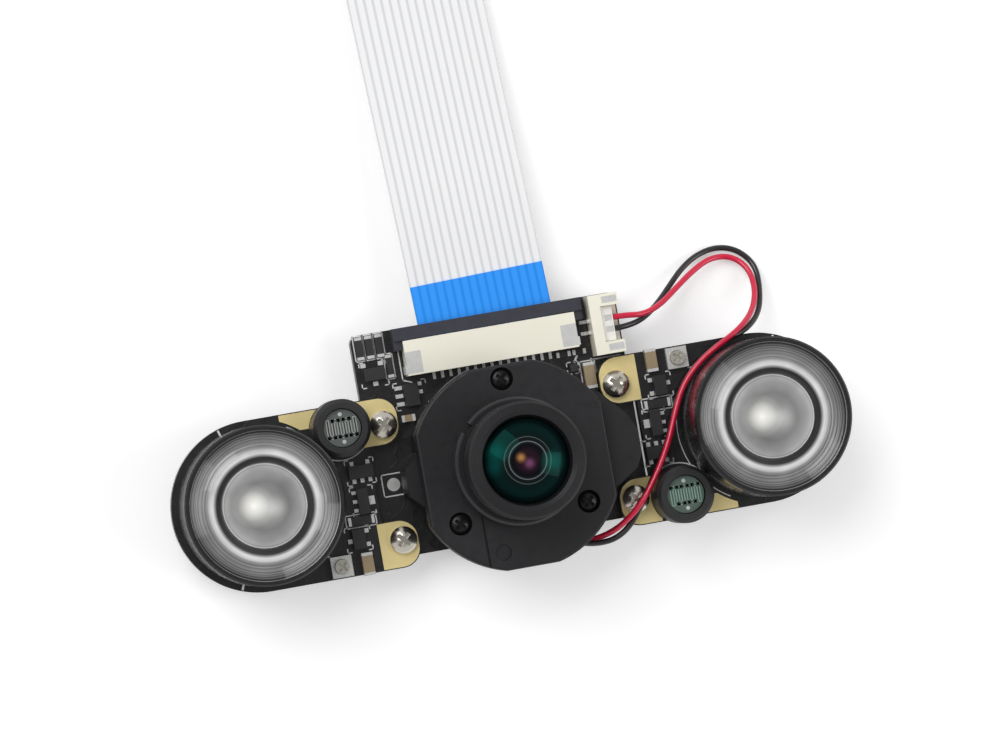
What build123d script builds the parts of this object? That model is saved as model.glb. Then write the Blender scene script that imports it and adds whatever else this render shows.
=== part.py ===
"""Night-vision camera module with two infrared lamp boards, in millimetres.

The module lies on its back: +Z is the way the lens looks, +X runs along the row of lamps and +Y
points to the ribbon socket. The origin is the centre of the four board screws, on the plane that
their ends stand on. Left is -X and right is +X.
"""
import os
from math import asin, cos, degrees, radians, sin, tan

from build123d import *

# ---- fits
THREAD_GAP = 0.02           # radial, between a screw and the thread that holds it
TURN_GAP = 0.05             # radial, between pieces that turn in each other
SEAT_GAP = 0.10             # between faces that slide or turn on each other
MOVE_GAP = 0.30             # between a moving piece and whatever it passes

# ---- boards
BOARD_T = 1.6               # every board's thickness
PAD_T = 0.05                # gold pads stand this proud of a board
SCREW_PITCH_X = 28.0        # the four board screws
SCREW_PITCH_Y = 13.7
BOARD_HOLE_D = 2.3

CAM_W = 32.0                # camera board
CAM_TOP_Y = 17.7
CAM_BOTTOM_Y = -8.9
CAM_CORNER_R = 1.0

LAMP_X = 30.2               # lamp centre, from the middle of the module
LAMP_R = 10.1               # round end and half width of a lamp board
TAB_END_X = 12.1            # inner end of a lamp board's two tabs
TAB_INNER_Y = 4.45          # inner edge of a tab
TAB_CORNER_R = 2.3
NOTCH_X = 16.2              # bottom of the notch between the tabs
PAD_INSET = 0.12            # pad edge to board edge
PAD_END_X = 16.8            # outer end of a tab's pad
STRIP_X = (20.7, 26.0)      # bare gold strip on a lamp board's long edge
STRIP_Y = 7.9
SILK_R = 10.0               # printed circle round the cup

# ---- board fasteners
SCREW_D = 2.0
SCREW_LEN = 6.0
HEAD_D = 3.2
HEAD_H = 1.4
NUT_AF = 4.0
NUT_T = 1.6

# ---- lamps
CUP_R = 9.35
CUP_WALL = 0.6
CUP_H = 10.0
CUP_FLOOR_T = 0.8
CUP_HOLE_R = 3.6
LAMP_LENS_DROP = 0.35       # lens edge below the cup's rim
LAMP_LENS_CORE_R = 4.9
LAMP_LENS_GROOVE_R = 5.6
LAMP_LENS_FLANGE_R = 6.5
LAMP_LENS_RIDGE_R = 7.3
LAMP_LENS_DEPTH = 6.4
EMITTER_R = 2.8
EMITTER_T = 1.0
EMITTER_DOME_R = 1.8

# ---- light sensors and trimmers
SENSOR_X, SENSOR_Y = -19.3, 7.3     # on the left lamp board
SLEEVE_R = 3.4
SLEEVE_H = 4.8
SLEEVE_BORE_R = 2.3
SENSOR_R = 2.2
SENSOR_T = 1.7
SENSOR_DROP = 0.5           # sensor face below the sleeve's rim
SENSOR_LEG_R = 0.25
TRIMMER_X, TRIMMER_Y = -21.7, -8.7
TRIMMER_W = 2.5
TRIMMER_H = 0.8
TRIMMER_ROTOR_R = 0.85
TRIMMER_ROTOR_H = 0.5       # above the trimmer's body
TRIMMER_SLOT_W = 0.3

# ---- filter housing
AXIS_X = -0.25              # lens axis
HOUSE_Y = -0.4              # centre of the housing's round outline
COVER_R = 12.4
COVER_HALF_W = 11.15        # flats left and right of the lens axis
COVER_TOP_Y = 11.4
COVER_BOTTOM_Y = -12.4
COVER_T = 2.2
COVER_EDGE_R = 0.35
BASE_INSET = 0.5            # the base stands this far inside the cover's outline
BASE_H = 6.8
LOBE_H = 6.1
HOUSE_WALL = 1.0
RIGHT_LOBE = [(8.0, 8.0), (11.2, 6.3), (13.9, 3.4), (15.0, 1.3), (15.0, -1.6), (14.2, -3.2), (11.8, -4.8), (8.0, -6.5)]
LEFT_LOBE = [(-9.0, 4.6), (-11.0, 2.9), (-12.9, 1.2), (-12.9, -1.8), (-11.0, -3.6), (-9.0, -5.0)]
LOBE_CORNER_R = 1.0
CHAMBER_H = 3.2             # light chamber over the image sensor
CHAMBER_HALF_W = 5.2
SHELF_T = 1.0               # shelf that the filter arm swings over
APERTURE_W = 4.4
COVER_SCREW_R = 9.75        # circle of the three cover screws, about the lens axis
COVER_SCREW_ANGLES = (90.0, -38.4, 218.4)
COVER_SCREW_D = 1.4
COVER_SCREW_LEN = 5.0
COVER_HEAD_D = 2.5
COVER_HEAD_H = 0.8
COVER_HEAD_POCKET = 0.9
COVER_POST_R = 1.4
BACK_SCREW_X = (-11.4, 13.0)        # screws that hold the housing, through the camera board
BACK_SCREW_Y = -0.2
BACK_SCREW_D = 1.6
BACK_SCREW_LEN = 5.0
BACK_HEAD_D = 2.6
BACK_HEAD_H = 0.9
GROOVE_X = -5.3             # seam across the cover's lower left
GROOVE_TOP_Y = -5.6
GROOVE_W = 0.25
GROOVE_DEPTH = 0.25
DIMPLE_X, DIMPLE_Y = -3.5, -10.2
DIMPLE_R = 0.95

# ---- lens
THREAD_D = 12.0             # M12 x 0.5
BOSS_R = 7.0
BOSS_H = 1.2
LOCK_RING_R = 7.5
LOCK_RING_T = 1.8
LOCK_NOTCH_W = 1.3
LOCK_NOTCH_DEPTH = 0.7
LOCK_NOTCH_ANGLE = 139.0
LENS_FRONT_H = 19.0         # front ring above the camera board
LENS_FRONT_R = 6.85
LENS_FRONT_LEN = 4.8
LENS_NECK_R = 6.4
LENS_NECK_LEN = 0.8
LENS_REAR_H = 7.1
LENS_LIP_R = 5.25           # inner edge of the front ring's face
FRONT_GLASS_R = 4.95
FRONT_GLASS_SEAT = 1.35     # glass edge below the front face
FRONT_GLASS_EDGE_T = 1.5
FRONT_GLASS_CURVE_R = 9.0
FRONT_GLASS_MID_T = 0.9
LENS_BORE_R = 3.9
INNER_RING_T = 1.2
INNER_RING_R = 2.3
REAR_GLASS_R = 3.4
REAR_GLASS_T = 2.0
REAR_BORE_R = 2.9

# ---- infrared filter drive
ARM_R = 7.6                 # pivot to lens axis
FILTER_R = 2.2
FILTER_FRAME_R = 2.75
FILTER_T = 0.5
ARM_T = 0.8
ARM_W = 2.2
FILTER_SPACING_GAP = 0.1
HUB_R = 1.4
PIVOT_R = 0.6
MAGNET_R = 1.15
MAGNET_H = 2.0
COIL_R = 0.9
COIL_LEN = 2.6
COIL_DROP = 2.25            # coil axis below the pivot, towards -Y
COIL_BORE_R = 0.4
YOKE_T = 0.6
COIL_TAG_X = 3.55           # face of the tag that the two wires are soldered to
COIL_TAG_T = 0.6

# ---- image sensor
SENSOR_CHIP_W = 7.0
SENSOR_CHIP_T = 0.9
SENSOR_GLASS_W = 5.2
SENSOR_GLASS_T = 0.4

# ---- ribbon socket and ribbon
WAYS = 15
WAY_PITCH = 1.0
RIBBON_W = (WAYS + 1) * WAY_PITCH
RIBBON_T = 0.2
STIFFENER_T = 0.2
SOCKET_X = 0.15
SOCKET_W = 20.6
SOCKET_BACK_Y = 11.95
SOCKET_FRONT_Y = 16.1
SOCKET_H = 2.5
SLOT_SIDE_GAP = 0.3
SLOT_DEPTH = 3.6
SLOT_H = 1.0
RIBBON_Z = 1.25             # ribbon's middle above the camera board
CLIP_W = 1.9
CLIP_LEN = 2.6
CLIP_T = 0.2
TAIL_LEN = 0.85
TAIL_W = 0.35
TAIL_T = 0.25
LOCK_BAR_D = 1.5
LOCK_BAR_T = 0.75
LOCK_BAR_ARM_W = 0.95
LOCK_BAR_ARM_LEN = 2.6
RIBBON_LEAN = 1.8           # degrees, towards -X
STIFFENER_OUT = 6.3         # near stiffener, out of the socket's front face
FAR_STIFFENER_LEN = 6.0
FAR_CONTACT_LEN = 4.0
CONTACT_W = 0.7
CONTACT_T = 0.05
# ribbon's middle line: distance out from the socket's front face, height above the resting plane
RIBBON_ROUTE = [(-3.2, 5.60), (10.0, 5.45), (27.0, 3.30), (54.0, 0.70), (100.0, 0.35), (146.5, 0.75)]

# ---- lead socket, plug and wires
LEAD_SOCKET_X = (12.2, 15.75)
LEAD_SOCKET_Y = 14.05       # middle
LEAD_SOCKET_W = 7.1
LEAD_SOCKET_H = 3.4
LEAD_WALL = 0.6
LEAD_TOP_D = 1.3            # depth of the roof over the plug
LEAD_CHEEK_W = 1.45
LEAD_CLIP_SIZE = (1.8, 0.8, 0.3)
PLUG_GAP = 0.05
PLUG_WINDOW = (0.9, 0.7, 0.5)
LEAD_PIN_W = 0.4
LEAD_TAIL_LEN = 1.0
WIRE_D = 0.7
WIRE_EXIT_X = 14.9
RED_WIRE_Y = 14.70
BLACK_WIRE_Y = 13.35
RED_ROUTE = [
    (WIRE_EXIT_X, RED_WIRE_Y, 6.05), (16.5, RED_WIRE_Y, 6.05), (18.7, 14.4, 5.8), (21.0, 15.1, 4.6),
    (23.4, 16.7, 3.3), (25.9, 18.4, 2.1), (28.5, 19.7, 1.2), (31.1, 19.6, 0.9), (32.9, 17.9, 1.5), (33.1, 15.3, 3.0),
    (31.9, 12.7, 5.4), (29.6, 10.85, 7.9), (27.2, 9.6, 8.4), (24.1, 7.9, 8.3), (21.5, 5.3, 8.2),
    (20.0, 2.2, 8.3), (18.7, -0.9, 8.45), (17.0, -3.8, 8.5), (14.8, -6.8, 8.95), (12.6, -8.9, 8.4),
    (10.6, -10.2, 6.9), (8.2, -10.8, 6.0), (5.8, -10.5, 5.85), (COIL_TAG_X, -10.2, 5.85),
]
BLACK_ROUTE = [
    (WIRE_EXIT_X, BLACK_WIRE_Y, 6.05), (16.5, BLACK_WIRE_Y, 6.05), (18.8, 13.9, 5.0), (21.1, 15.45, 3.4),
    (23.0, 17.2, 2.2), (25.0, 19.1, 1.4), (27.2, 20.4, 0.8), (29.7, 20.9, 0.6), (32.1, 20.2, 0.65), (33.9, 18.1, 0.9),
    (33.8, 15.3, 2.2), (32.8, 12.3, 4.3), (30.4, 10.5, 6.8), (27.3, 9.65, 7.45), (24.1, 7.9, 7.4),
    (21.5, 5.3, 7.3), (20.0, 2.2, 7.4), (18.7, -0.9, 7.55), (16.9, -3.8, 7.6), (14.8, -6.9, 8.0),
    (13.0, -9.6, 7.1), (10.9, -11.1, 6.9), (8.4, -11.3, 6.85), (5.9, -10.7, 6.75), (COIL_TAG_X, -10.3, 6.75),
]

# ---- surface-mount parts: x, y, size along x, size along y
CHIP_H = 0.95
SMALL_CHIP_H = 0.5
END_W = 0.35                # tinned end of a small part
LEG_T = 0.3
CAM_CHIPS = [(-13.85, 12.9, 2.5, 1.5), (-9.95, 9.75, 1.7, 2.6), (9.6, 9.6, 0.9, 0.9)]
CAM_LEGS = [
    (-15.0, 14.05, 0.6, 0.5), (-12.9, 14.05, 0.6, 0.5), (-13.85, 11.75, 0.6, 0.5),
    (-11.35, 10.75, 0.9, 0.45), (-11.35, 9.8, 0.9, 0.45), (-11.35, 8.85, 0.9, 0.45),
    (-8.75, 10.9, 0.45, 0.45), (-8.75, 9.95, 0.45, 0.45),
]
CAM_SMALL = [
    (-15.1, 16.1, 0.8, 2.0), (-13.9, 16.1, 0.8, 2.0), (-12.7, 16.1, 0.8, 2.0), (-11.9, 13.5, 0.7, 2.0),
    (8.7, 11.35, 1.0, 0.6), (10.6, 11.35, 0.9, 0.6),
]
CAM_CAPS = [(11.35, 8.4, 1.3, 2.4), (-10.8, 7.1, 0.9, 0.8)]
LAMP_CHIPS = [(-17.6, 1.9, 2.9, 1.5), (-17.9, -1.55, 1.3, 3.0), (-19.15, -5.85, 1.5, 2.3)]
LAMP_LEGS = [
    (-18.5, 2.95, 0.45, 0.5), (-16.6, 2.95, 0.45, 0.5), (-18.5, 0.85, 0.45, 0.5), (-17.55, 0.85, 0.45, 0.5),
    (-16.6, 0.85, 0.45, 0.5), (-18.85, -0.45, 0.5, 0.4), (-18.85, -1.5, 0.5, 0.4), (-18.85, -2.55, 0.5, 0.4),
    (-16.85, -1.6, 0.7, 1.0), (-20.2, -6.0, 0.5, 0.5), (-18.1, -5.0, 0.5, 0.5), (-18.1, -6.6, 0.5, 0.5),
]
LAMP_SMALL = [(-18.5, -3.75, 2.4, 1.0)]
LAMP_CAPS = [(-18.6, -8.9, 1.3, 2.0)]

# ---- heights worked out from the stack: nuts, camera board, lamp boards, pads, screw heads
Z_HEAD = SCREW_LEN
Z_LAMP_TOP = Z_HEAD - PAD_T
Z_DECK = Z_LAMP_TOP - BOARD_T       # camera board's top, and the lamp boards' underside
Z_CAM = Z_DECK - BOARD_T
Z_NUT = Z_CAM - NUT_T
Z_SHELF = Z_DECK + CHAMBER_H
Z_ARM = Z_SHELF + SHELF_T + MOVE_GAP
Z_COVER = Z_DECK + BASE_H
Z_COVER_TOP = Z_COVER + COVER_T
Z_RING = Z_COVER_TOP + BOSS_H + SEAT_GAP
Z_FRONT = Z_DECK + LENS_FRONT_H
Z_CUP_TOP = Z_LAMP_TOP + CUP_H
PIVOT_Y = -ARM_R
FILTER_SWING = 2 * degrees(asin((FILTER_FRAME_R + FILTER_SPACING_GAP / 2) / ARM_R))


# ---- plain shapes
def slab(x0, x1, y0, y1, z0, z1):
    """A box between two corners."""
    return Pos((x0 + x1) / 2, (y0 + y1) / 2, (z0 + z1) / 2) * Box(x1 - x0, y1 - y0, z1 - z0)


def disc(r, z0, z1, x=0.0, y=0.0):
    """An upright cylinder."""
    return Pos(x, y, (z0 + z1) / 2) * Cylinder(r, z1 - z0)


def prism(face, z0, z1):
    """A flat face on the XY plane, made solid between two heights."""
    return Pos(0, 0, z0) * extrude(face, z1 - z0)


def turned(points, x=0.0, y=0.0):
    """A closed (radius, height) outline turned about an upright axis."""
    outline = Polyline(*[(r, 0, z) for r, z in points], close=True)
    return Pos(x, y, 0) * revolve(make_face(outline), Axis.Z)


def turned_edges(edges, x=0.0, y=0.0):
    """Edges that close an outline on the XZ plane, turned about an upright axis."""
    return Pos(x, y, 0) * revolve(make_face(Curve() + edges), Axis.Z)


def dome(r, z_edge, z_top):
    """The arc from a dome's top, on the axis, to its edge."""
    rise = z_top - z_edge
    curve_r = (r * r + rise * rise) / (2 * abs(rise))
    mid_rise = (curve_r**2 - r * r / 4) ** 0.5 - curve_r
    mid = z_top + (mid_rise if rise > 0 else -mid_rise)
    return ThreePointArc((0, 0, z_top), (r / 2, 0, mid), (r, 0, z_edge))


def group(solids):
    """Separate solids kept in one node."""
    return Compound(children=[solid for part in solids for solid in part.solids()])


def half_turn(part):
    """The right lamp board's copy of a piece of the left one."""
    return Rot(0, 0, 180) * part


def save(name, part):
    """Write one node."""
    if not isinstance(part, Compound) or isinstance(part, Part):
        part = group([part])
    export_step(part, f"parts/{name}.step")


# ---- fasteners
def pan_screw(x, y, z_seat, z_tip, head_d, head_h, shank_d):
    """A cross-slotted screw with a rounded head, standing upright."""
    r, rim = head_d / 2, head_h * 0.45
    edges = [
        Line((0, 0, z_tip), (shank_d / 2, 0, z_tip)),
        Line((shank_d / 2, 0, z_tip), (shank_d / 2, 0, z_seat)),
        Line((shank_d / 2, 0, z_seat), (r, 0, z_seat)),
        Line((r, 0, z_seat), (r, 0, z_seat + rim)),
        dome(r, z_seat + rim, z_seat + head_h),
        Line((0, 0, z_seat + head_h), (0, 0, z_tip)),
    ]
    body = turned_edges(edges)
    top = z_seat + head_h
    slot = head_d * 0.6
    for angle in (0, 90):
        body -= Rot(0, 0, angle + 45) * slab(-slot / 2, slot / 2, -head_d * 0.08, head_d * 0.08, top - head_h * 0.6, top + 1)
    return Pos(x, y, 0) * body


def nut(x, y, z):
    """A hexagon nut under the camera board."""
    body = prism(RegularPolygon(NUT_AF / 2, 6, major_radius=False), z, z + NUT_T)
    body -= disc(SCREW_D / 2 + THREAD_GAP, z - 1, z + NUT_T + 1)
    return Pos(x, y, 0) * body


def screw_places():
    """The four board screws."""
    return [(sx * SCREW_PITCH_X / 2, sy * SCREW_PITCH_Y / 2) for sx in (-1, 1) for sy in (-1, 1)]


def cover_screw_places():
    """The three cover screws, about the lens axis."""
    return [
        (AXIS_X + COVER_SCREW_R * cos(radians(a)), COVER_SCREW_R * sin(radians(a)))
        for a in COVER_SCREW_ANGLES
    ]


# ---- boards
def camera_board():
    """The main board: a rounded rectangle with its screw holes."""
    middle = (CAM_TOP_Y + CAM_BOTTOM_Y) / 2
    outline = Pos(0, middle) * RectangleRounded(CAM_W, CAM_TOP_Y - CAM_BOTTOM_Y, CAM_CORNER_R)
    board = prism(outline, Z_CAM, Z_DECK)
    for x, y in screw_places():
        board -= disc(BOARD_HOLE_D / 2, Z_CAM - 1, Z_DECK + 1, x, y)
    for x in BACK_SCREW_X:
        board -= disc(BACK_SCREW_D / 2 + THREAD_GAP, Z_CAM - 1, Z_DECK + 1, x, BACK_SCREW_Y)
    return board


def lamp_outline(inset=0.0):
    """The left lamp board seen from the front: a round end, and two tabs with rounded corners."""
    half = LAMP_R - inset
    end = -TAB_END_X - inset
    outline = Pos(-LAMP_X, 0) * Circle(half)
    outline += Pos((end - LAMP_X) / 2, 0) * Rectangle(end + LAMP_X, 2 * half)
    notch = -NOTCH_X - inset
    outline -= Pos((notch + 1) / 2, 0) * Rectangle(1 - notch, 2 * (TAB_INNER_Y + inset))
    corners = [v for v in outline.vertices() if abs(v.X - end) < 1e-6]
    return fillet(corners, TAB_CORNER_R - inset)


def lamp_holes(z0, z1, d):
    """The two tab holes, as solids to cut with."""
    return [disc(d / 2, z0, z1, x, y) for x, y in screw_places() if x < 0]


def lamp_board():
    """The left lamp board."""
    board = prism(lamp_outline(), Z_DECK, Z_LAMP_TOP)
    for hole in lamp_holes(Z_DECK - 1, Z_LAMP_TOP + 1, BOARD_HOLE_D):
        board -= hole
    return board


def lamp_pads():
    """Gold on the left lamp board: a pad round each screw, and a strip by the cup."""
    inside = lamp_outline(PAD_INSET)
    tab_side = Pos(-PAD_END_X / 2, 0) * Rectangle(PAD_END_X, 3 * LAMP_R)
    tab_side -= Rectangle(3 * PAD_END_X, 2 * (TAB_INNER_Y + PAD_INSET))
    tabs = prism(inside & tab_side, Z_LAMP_TOP, Z_HEAD)
    for hole in lamp_holes(Z_LAMP_TOP - 1, Z_HEAD + 1, BOARD_HOLE_D):
        tabs -= hole
    near, far = STRIP_X
    strip_side = Pos(-(near + far) / 2, STRIP_Y + LAMP_R / 2) * Rectangle(far - near, LAMP_R)
    strip_side -= Pos(-LAMP_X, 0) * Circle(SILK_R + 0.2)
    strip = prism(inside & strip_side, Z_LAMP_TOP, Z_HEAD)
    strip -= disc(SLEEVE_R + TURN_GAP, Z_LAMP_TOP - 1, Z_HEAD + 1, SENSOR_X, SENSOR_Y)
    tabs -= disc(SLEEVE_R + TURN_GAP, Z_LAMP_TOP - 1, Z_HEAD + 1, SENSOR_X, SENSOR_Y)
    return group([tabs, strip])


# ---- surface-mount parts
def blocks(places, z, height):
    """A plain block for each place."""
    return [slab(x - a / 2, x + a / 2, y - b / 2, y + b / 2, z, z + height) for x, y, a, b in places]


def end_caps(places, z, height):
    """Tinned ends beyond the long ends of each small part."""
    caps = []
    for x, y, a, b in places:
        if a > b:
            ends = [(x - a / 2 - END_W / 2, y, END_W, b), (x + a / 2 + END_W / 2, y, END_W, b)]
        else:
            ends = [(x, y - b / 2 - END_W / 2, a, END_W), (x, y + b / 2 + END_W / 2, a, END_W)]
        caps += blocks(ends, z, height)
    return caps


def save_small_parts(prefix, turn, z, chips, legs, small, caps):
    """Chips, tan capacitors and tinned metal of one board, each in its own node."""
    black = blocks(chips, z, CHIP_H) + blocks(small, z, SMALL_CHIP_H)
    metal = blocks(legs, z, LEG_T) + end_caps(small, z, SMALL_CHIP_H) + end_caps(caps, z, CHIP_H)
    save(f"{prefix}_chips", group([turn(p) for p in black]))
    save(f"{prefix}_capacitors", group([turn(p) for p in blocks(caps, z, CHIP_H)]))
    save(f"{prefix}_terminals", group([turn(p) for p in metal]))


# ---- lamps, light sensor, trimmer: the left set
def lamp_cup():
    """Black cup round the lamp's lens, open at the front."""
    z0, z1 = Z_LAMP_TOP, Z_CUP_TOP
    bore = CUP_R - CUP_WALL
    points = [
        (CUP_HOLE_R, z0), (CUP_R, z0), (CUP_R, z1 - 0.2), (CUP_R - 0.2, z1), (bore, z1),
        (bore, z0 + CUP_FLOOR_T), (CUP_HOLE_R, z0 + CUP_FLOOR_T),
    ]
    return turned(points, -LAMP_X, 0)


def lamp_lens():
    """Ringed lens that sits in the cup."""
    top = Z_CUP_TOP - LAMP_LENS_DROP
    edge = CUP_R - CUP_WALL
    low = top - LAMP_LENS_DEPTH
    edges = [
        dome(LAMP_LENS_CORE_R, top - 0.2, top + 0.2),
        Line((LAMP_LENS_CORE_R, 0, top - 0.2), (LAMP_LENS_CORE_R + 0.1, 0, top - 0.7)),
        Line((LAMP_LENS_CORE_R + 0.1, 0, top - 0.7), (LAMP_LENS_GROOVE_R, 0, top - 0.7)),
        Line((LAMP_LENS_GROOVE_R, 0, top - 0.7), (LAMP_LENS_GROOVE_R, 0, top)),
        Line((LAMP_LENS_GROOVE_R, 0, top), (LAMP_LENS_FLANGE_R, 0, top)),
        Line((LAMP_LENS_FLANGE_R, 0, top), (LAMP_LENS_RIDGE_R, 0, top - 0.4)),
        Line((LAMP_LENS_RIDGE_R, 0, top - 0.4), (edge, 0, top)),
        Line((edge, 0, top), (edge, 0, top - 1.6)),
        Line((edge, 0, top - 1.6), (EMITTER_R, 0, low)),
        Line((EMITTER_R, 0, low), (0, 0, low)),
        Line((0, 0, low), (0, 0, top + 0.2)),
    ]
    return turned_edges(edges, -LAMP_X, 0)


def lamp_emitter():
    """Infrared emitter on the lamp board: a round base with a clear dome."""
    z = Z_LAMP_TOP
    bulb = Pos(0, 0, z + EMITTER_T) * Sphere(EMITTER_DOME_R) & slab(-3, 3, -3, 3, z + EMITTER_T, z + 4)
    return Pos(-LAMP_X, 0, 0) * (disc(EMITTER_R, z, z + EMITTER_T) + bulb)


def light_sensor():
    """Photoresistor disc on its two legs."""
    top = Z_LAMP_TOP + SLEEVE_H - SENSOR_DROP
    body = disc(SENSOR_R, top - SENSOR_T, top, SENSOR_X, SENSOR_Y)
    for side in (-1, 1):
        y = SENSOR_Y + side * SENSOR_R * 0.6
        body += disc(SENSOR_LEG_R, Z_LAMP_TOP, top - SENSOR_T / 2, SENSOR_X, y)
    return body


def sensor_sleeve():
    """Black sleeve that shades the light sensor."""
    z0, z1 = Z_LAMP_TOP, Z_LAMP_TOP + SLEEVE_H
    points = [
        (SLEEVE_BORE_R, z0), (SLEEVE_R, z0), (SLEEVE_R, z1 - 0.4), (SLEEVE_R - 0.4, z1), (SLEEVE_BORE_R, z1),
    ]
    return turned(points, SENSOR_X, SENSOR_Y)


def trimmer_body():
    """Square trimmer body with a round well for its rotor."""
    half = TRIMMER_W / 2
    z0, z1 = Z_LAMP_TOP, Z_LAMP_TOP + TRIMMER_H
    body = slab(-half, half, -half, half, z0, z1)
    body -= disc(TRIMMER_ROTOR_R + TURN_GAP, z0 + TRIMMER_H / 2 - SEAT_GAP, z1 + 1)
    return Pos(TRIMMER_X, TRIMMER_Y, 0) * body


def trimmer_rotor():
    """Cross-slotted rotor of the trimmer."""
    z0, z1 = Z_LAMP_TOP + TRIMMER_H / 2, Z_LAMP_TOP + TRIMMER_H + TRIMMER_ROTOR_H
    rotor = disc(TRIMMER_ROTOR_R, z0, z1)
    reach = TRIMMER_ROTOR_R * 0.75
    for angle in (0, 90):
        bar = slab(-reach, reach, -TRIMMER_SLOT_W / 2, TRIMMER_SLOT_W / 2, z1 - TRIMMER_ROTOR_H * 0.6, z1 + 1)
        rotor -= Rot(0, 0, angle + 45) * bar
    return Pos(TRIMMER_X, TRIMMER_Y, 0) * rotor


# ---- filter housing
def round_outline(inset):
    """The housing's outline: a circle with four flats, moved in by inset."""
    box_h = COVER_TOP_Y - COVER_BOTTOM_Y - 2 * inset
    box = Pos(AXIS_X, (COVER_TOP_Y + COVER_BOTTOM_Y) / 2) * Rectangle(2 * (COVER_HALF_W - inset), box_h)
    return (Pos(AXIS_X, HOUSE_Y) * Circle(COVER_R - inset)) & box


def lobe(points):
    """A side lobe of the base, with rounded outer corners."""
    face = make_face(Polyline(*points, close=True))
    outer = [v for v in face.vertices() if abs(v.X) > 10.0]
    return fillet(outer, LOBE_CORNER_R)


def wire_channel():
    """The way in for the two wires, through the base's lower right wall."""
    return slab(COIL_TAG_X - COIL_TAG_T - 0.1, 14.0, -11.35, -9.5, Z_DECK + 0.9, Z_SHELF)


def arm_sweep(clearance):
    """The space that the filter arm sweeps, as a face."""
    swing_r = ARM_R + FILTER_FRAME_R + clearance
    face = Pos(AXIS_X, PIVOT_Y) * Circle(swing_r)
    face &= Pos(AXIS_X, PIVOT_Y + swing_r / 2) * Rectangle(2 * swing_r, swing_r)
    return face + Pos(AXIS_X, PIVOT_Y) * Circle(HUB_R + clearance)


def housing_base():
    """Base shell: light chamber, shelf, filter space above it, coil space below it."""
    top = Z_COVER
    base = prism(round_outline(BASE_INSET), Z_DECK, top)
    for points in (RIGHT_LOBE, LEFT_LOBE):
        base += prism(lobe(points), Z_DECK, Z_DECK + LOBE_H)
    space = round_outline(BASE_INSET + HOUSE_WALL) & arm_sweep(2 * MOVE_GAP)
    hollow = prism(space, Z_SHELF + SHELF_T, top + 1)
    for x, y in cover_screw_places():
        hollow -= disc(COVER_POST_R, Z_SHELF, top + 2, x, y)
    base -= hollow
    half = CHAMBER_HALF_W
    base -= slab(AXIS_X - half, AXIS_X + half, -half, half, Z_DECK - 1, Z_SHELF)
    opening = APERTURE_W / 2
    base -= slab(AXIS_X - opening, AXIS_X + opening, -opening, opening, Z_DECK, top)
    side = COIL_LEN / 2 + YOKE_T + MOVE_GAP
    low_y = PIVOT_Y - COIL_DROP - COIL_R - SEAT_GAP
    magnet_y = PIVOT_Y + MAGNET_R + MOVE_GAP
    base -= slab(AXIS_X - side, COIL_TAG_X + 0.1, low_y, magnet_y, Z_DECK + 0.6, Z_SHELF)
    base -= wire_channel()
    base -= disc(PIVOT_R + TURN_GAP, Z_DECK + 0.6, top, AXIS_X, PIVOT_Y)
    for x, y in cover_screw_places():
        base -= disc(COVER_SCREW_D / 2 + THREAD_GAP, top - COVER_SCREW_LEN, top + 1, x, y)
    for x in BACK_SCREW_X:
        base -= disc(BACK_SCREW_D / 2 + THREAD_GAP, Z_CAM - 1, Z_CAM + BACK_SCREW_LEN + 0.2, x, BACK_SCREW_Y)
    return base


def housing_cover():
    """Cover with the threaded boss for the lens, sunk screw heads, a seam and a dimple."""
    cover = prism(round_outline(0), Z_COVER, Z_COVER_TOP)
    rim = [e for e in cover.edges() if abs(e.center().Z - Z_COVER_TOP) < 1e-6]
    cover = fillet(rim, COVER_EDGE_R)
    cover += disc(BOSS_R, Z_COVER_TOP - 0.5, Z_COVER_TOP + BOSS_H, AXIS_X, 0)
    cover -= disc(THREAD_D / 2 + TURN_GAP, Z_COVER - 1, Z_RING + 1, AXIS_X, 0)
    for x, y in cover_screw_places():
        cover -= disc(COVER_SCREW_D / 2 + THREAD_GAP, Z_COVER - 1, Z_RING, x, y)
        cover -= disc(COVER_HEAD_D / 2 + SEAT_GAP, Z_COVER_TOP - COVER_HEAD_POCKET, Z_RING, x, y)
    groove_z = Z_COVER_TOP - GROOVE_DEPTH
    cover -= slab(GROOVE_X - GROOVE_W / 2, GROOVE_X + GROOVE_W / 2, COVER_BOTTOM_Y - 1, GROOVE_TOP_Y, groove_z, Z_RING)
    cover -= disc(DIMPLE_R, groove_z, Z_RING, DIMPLE_X, DIMPLE_Y)
    return cover


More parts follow.
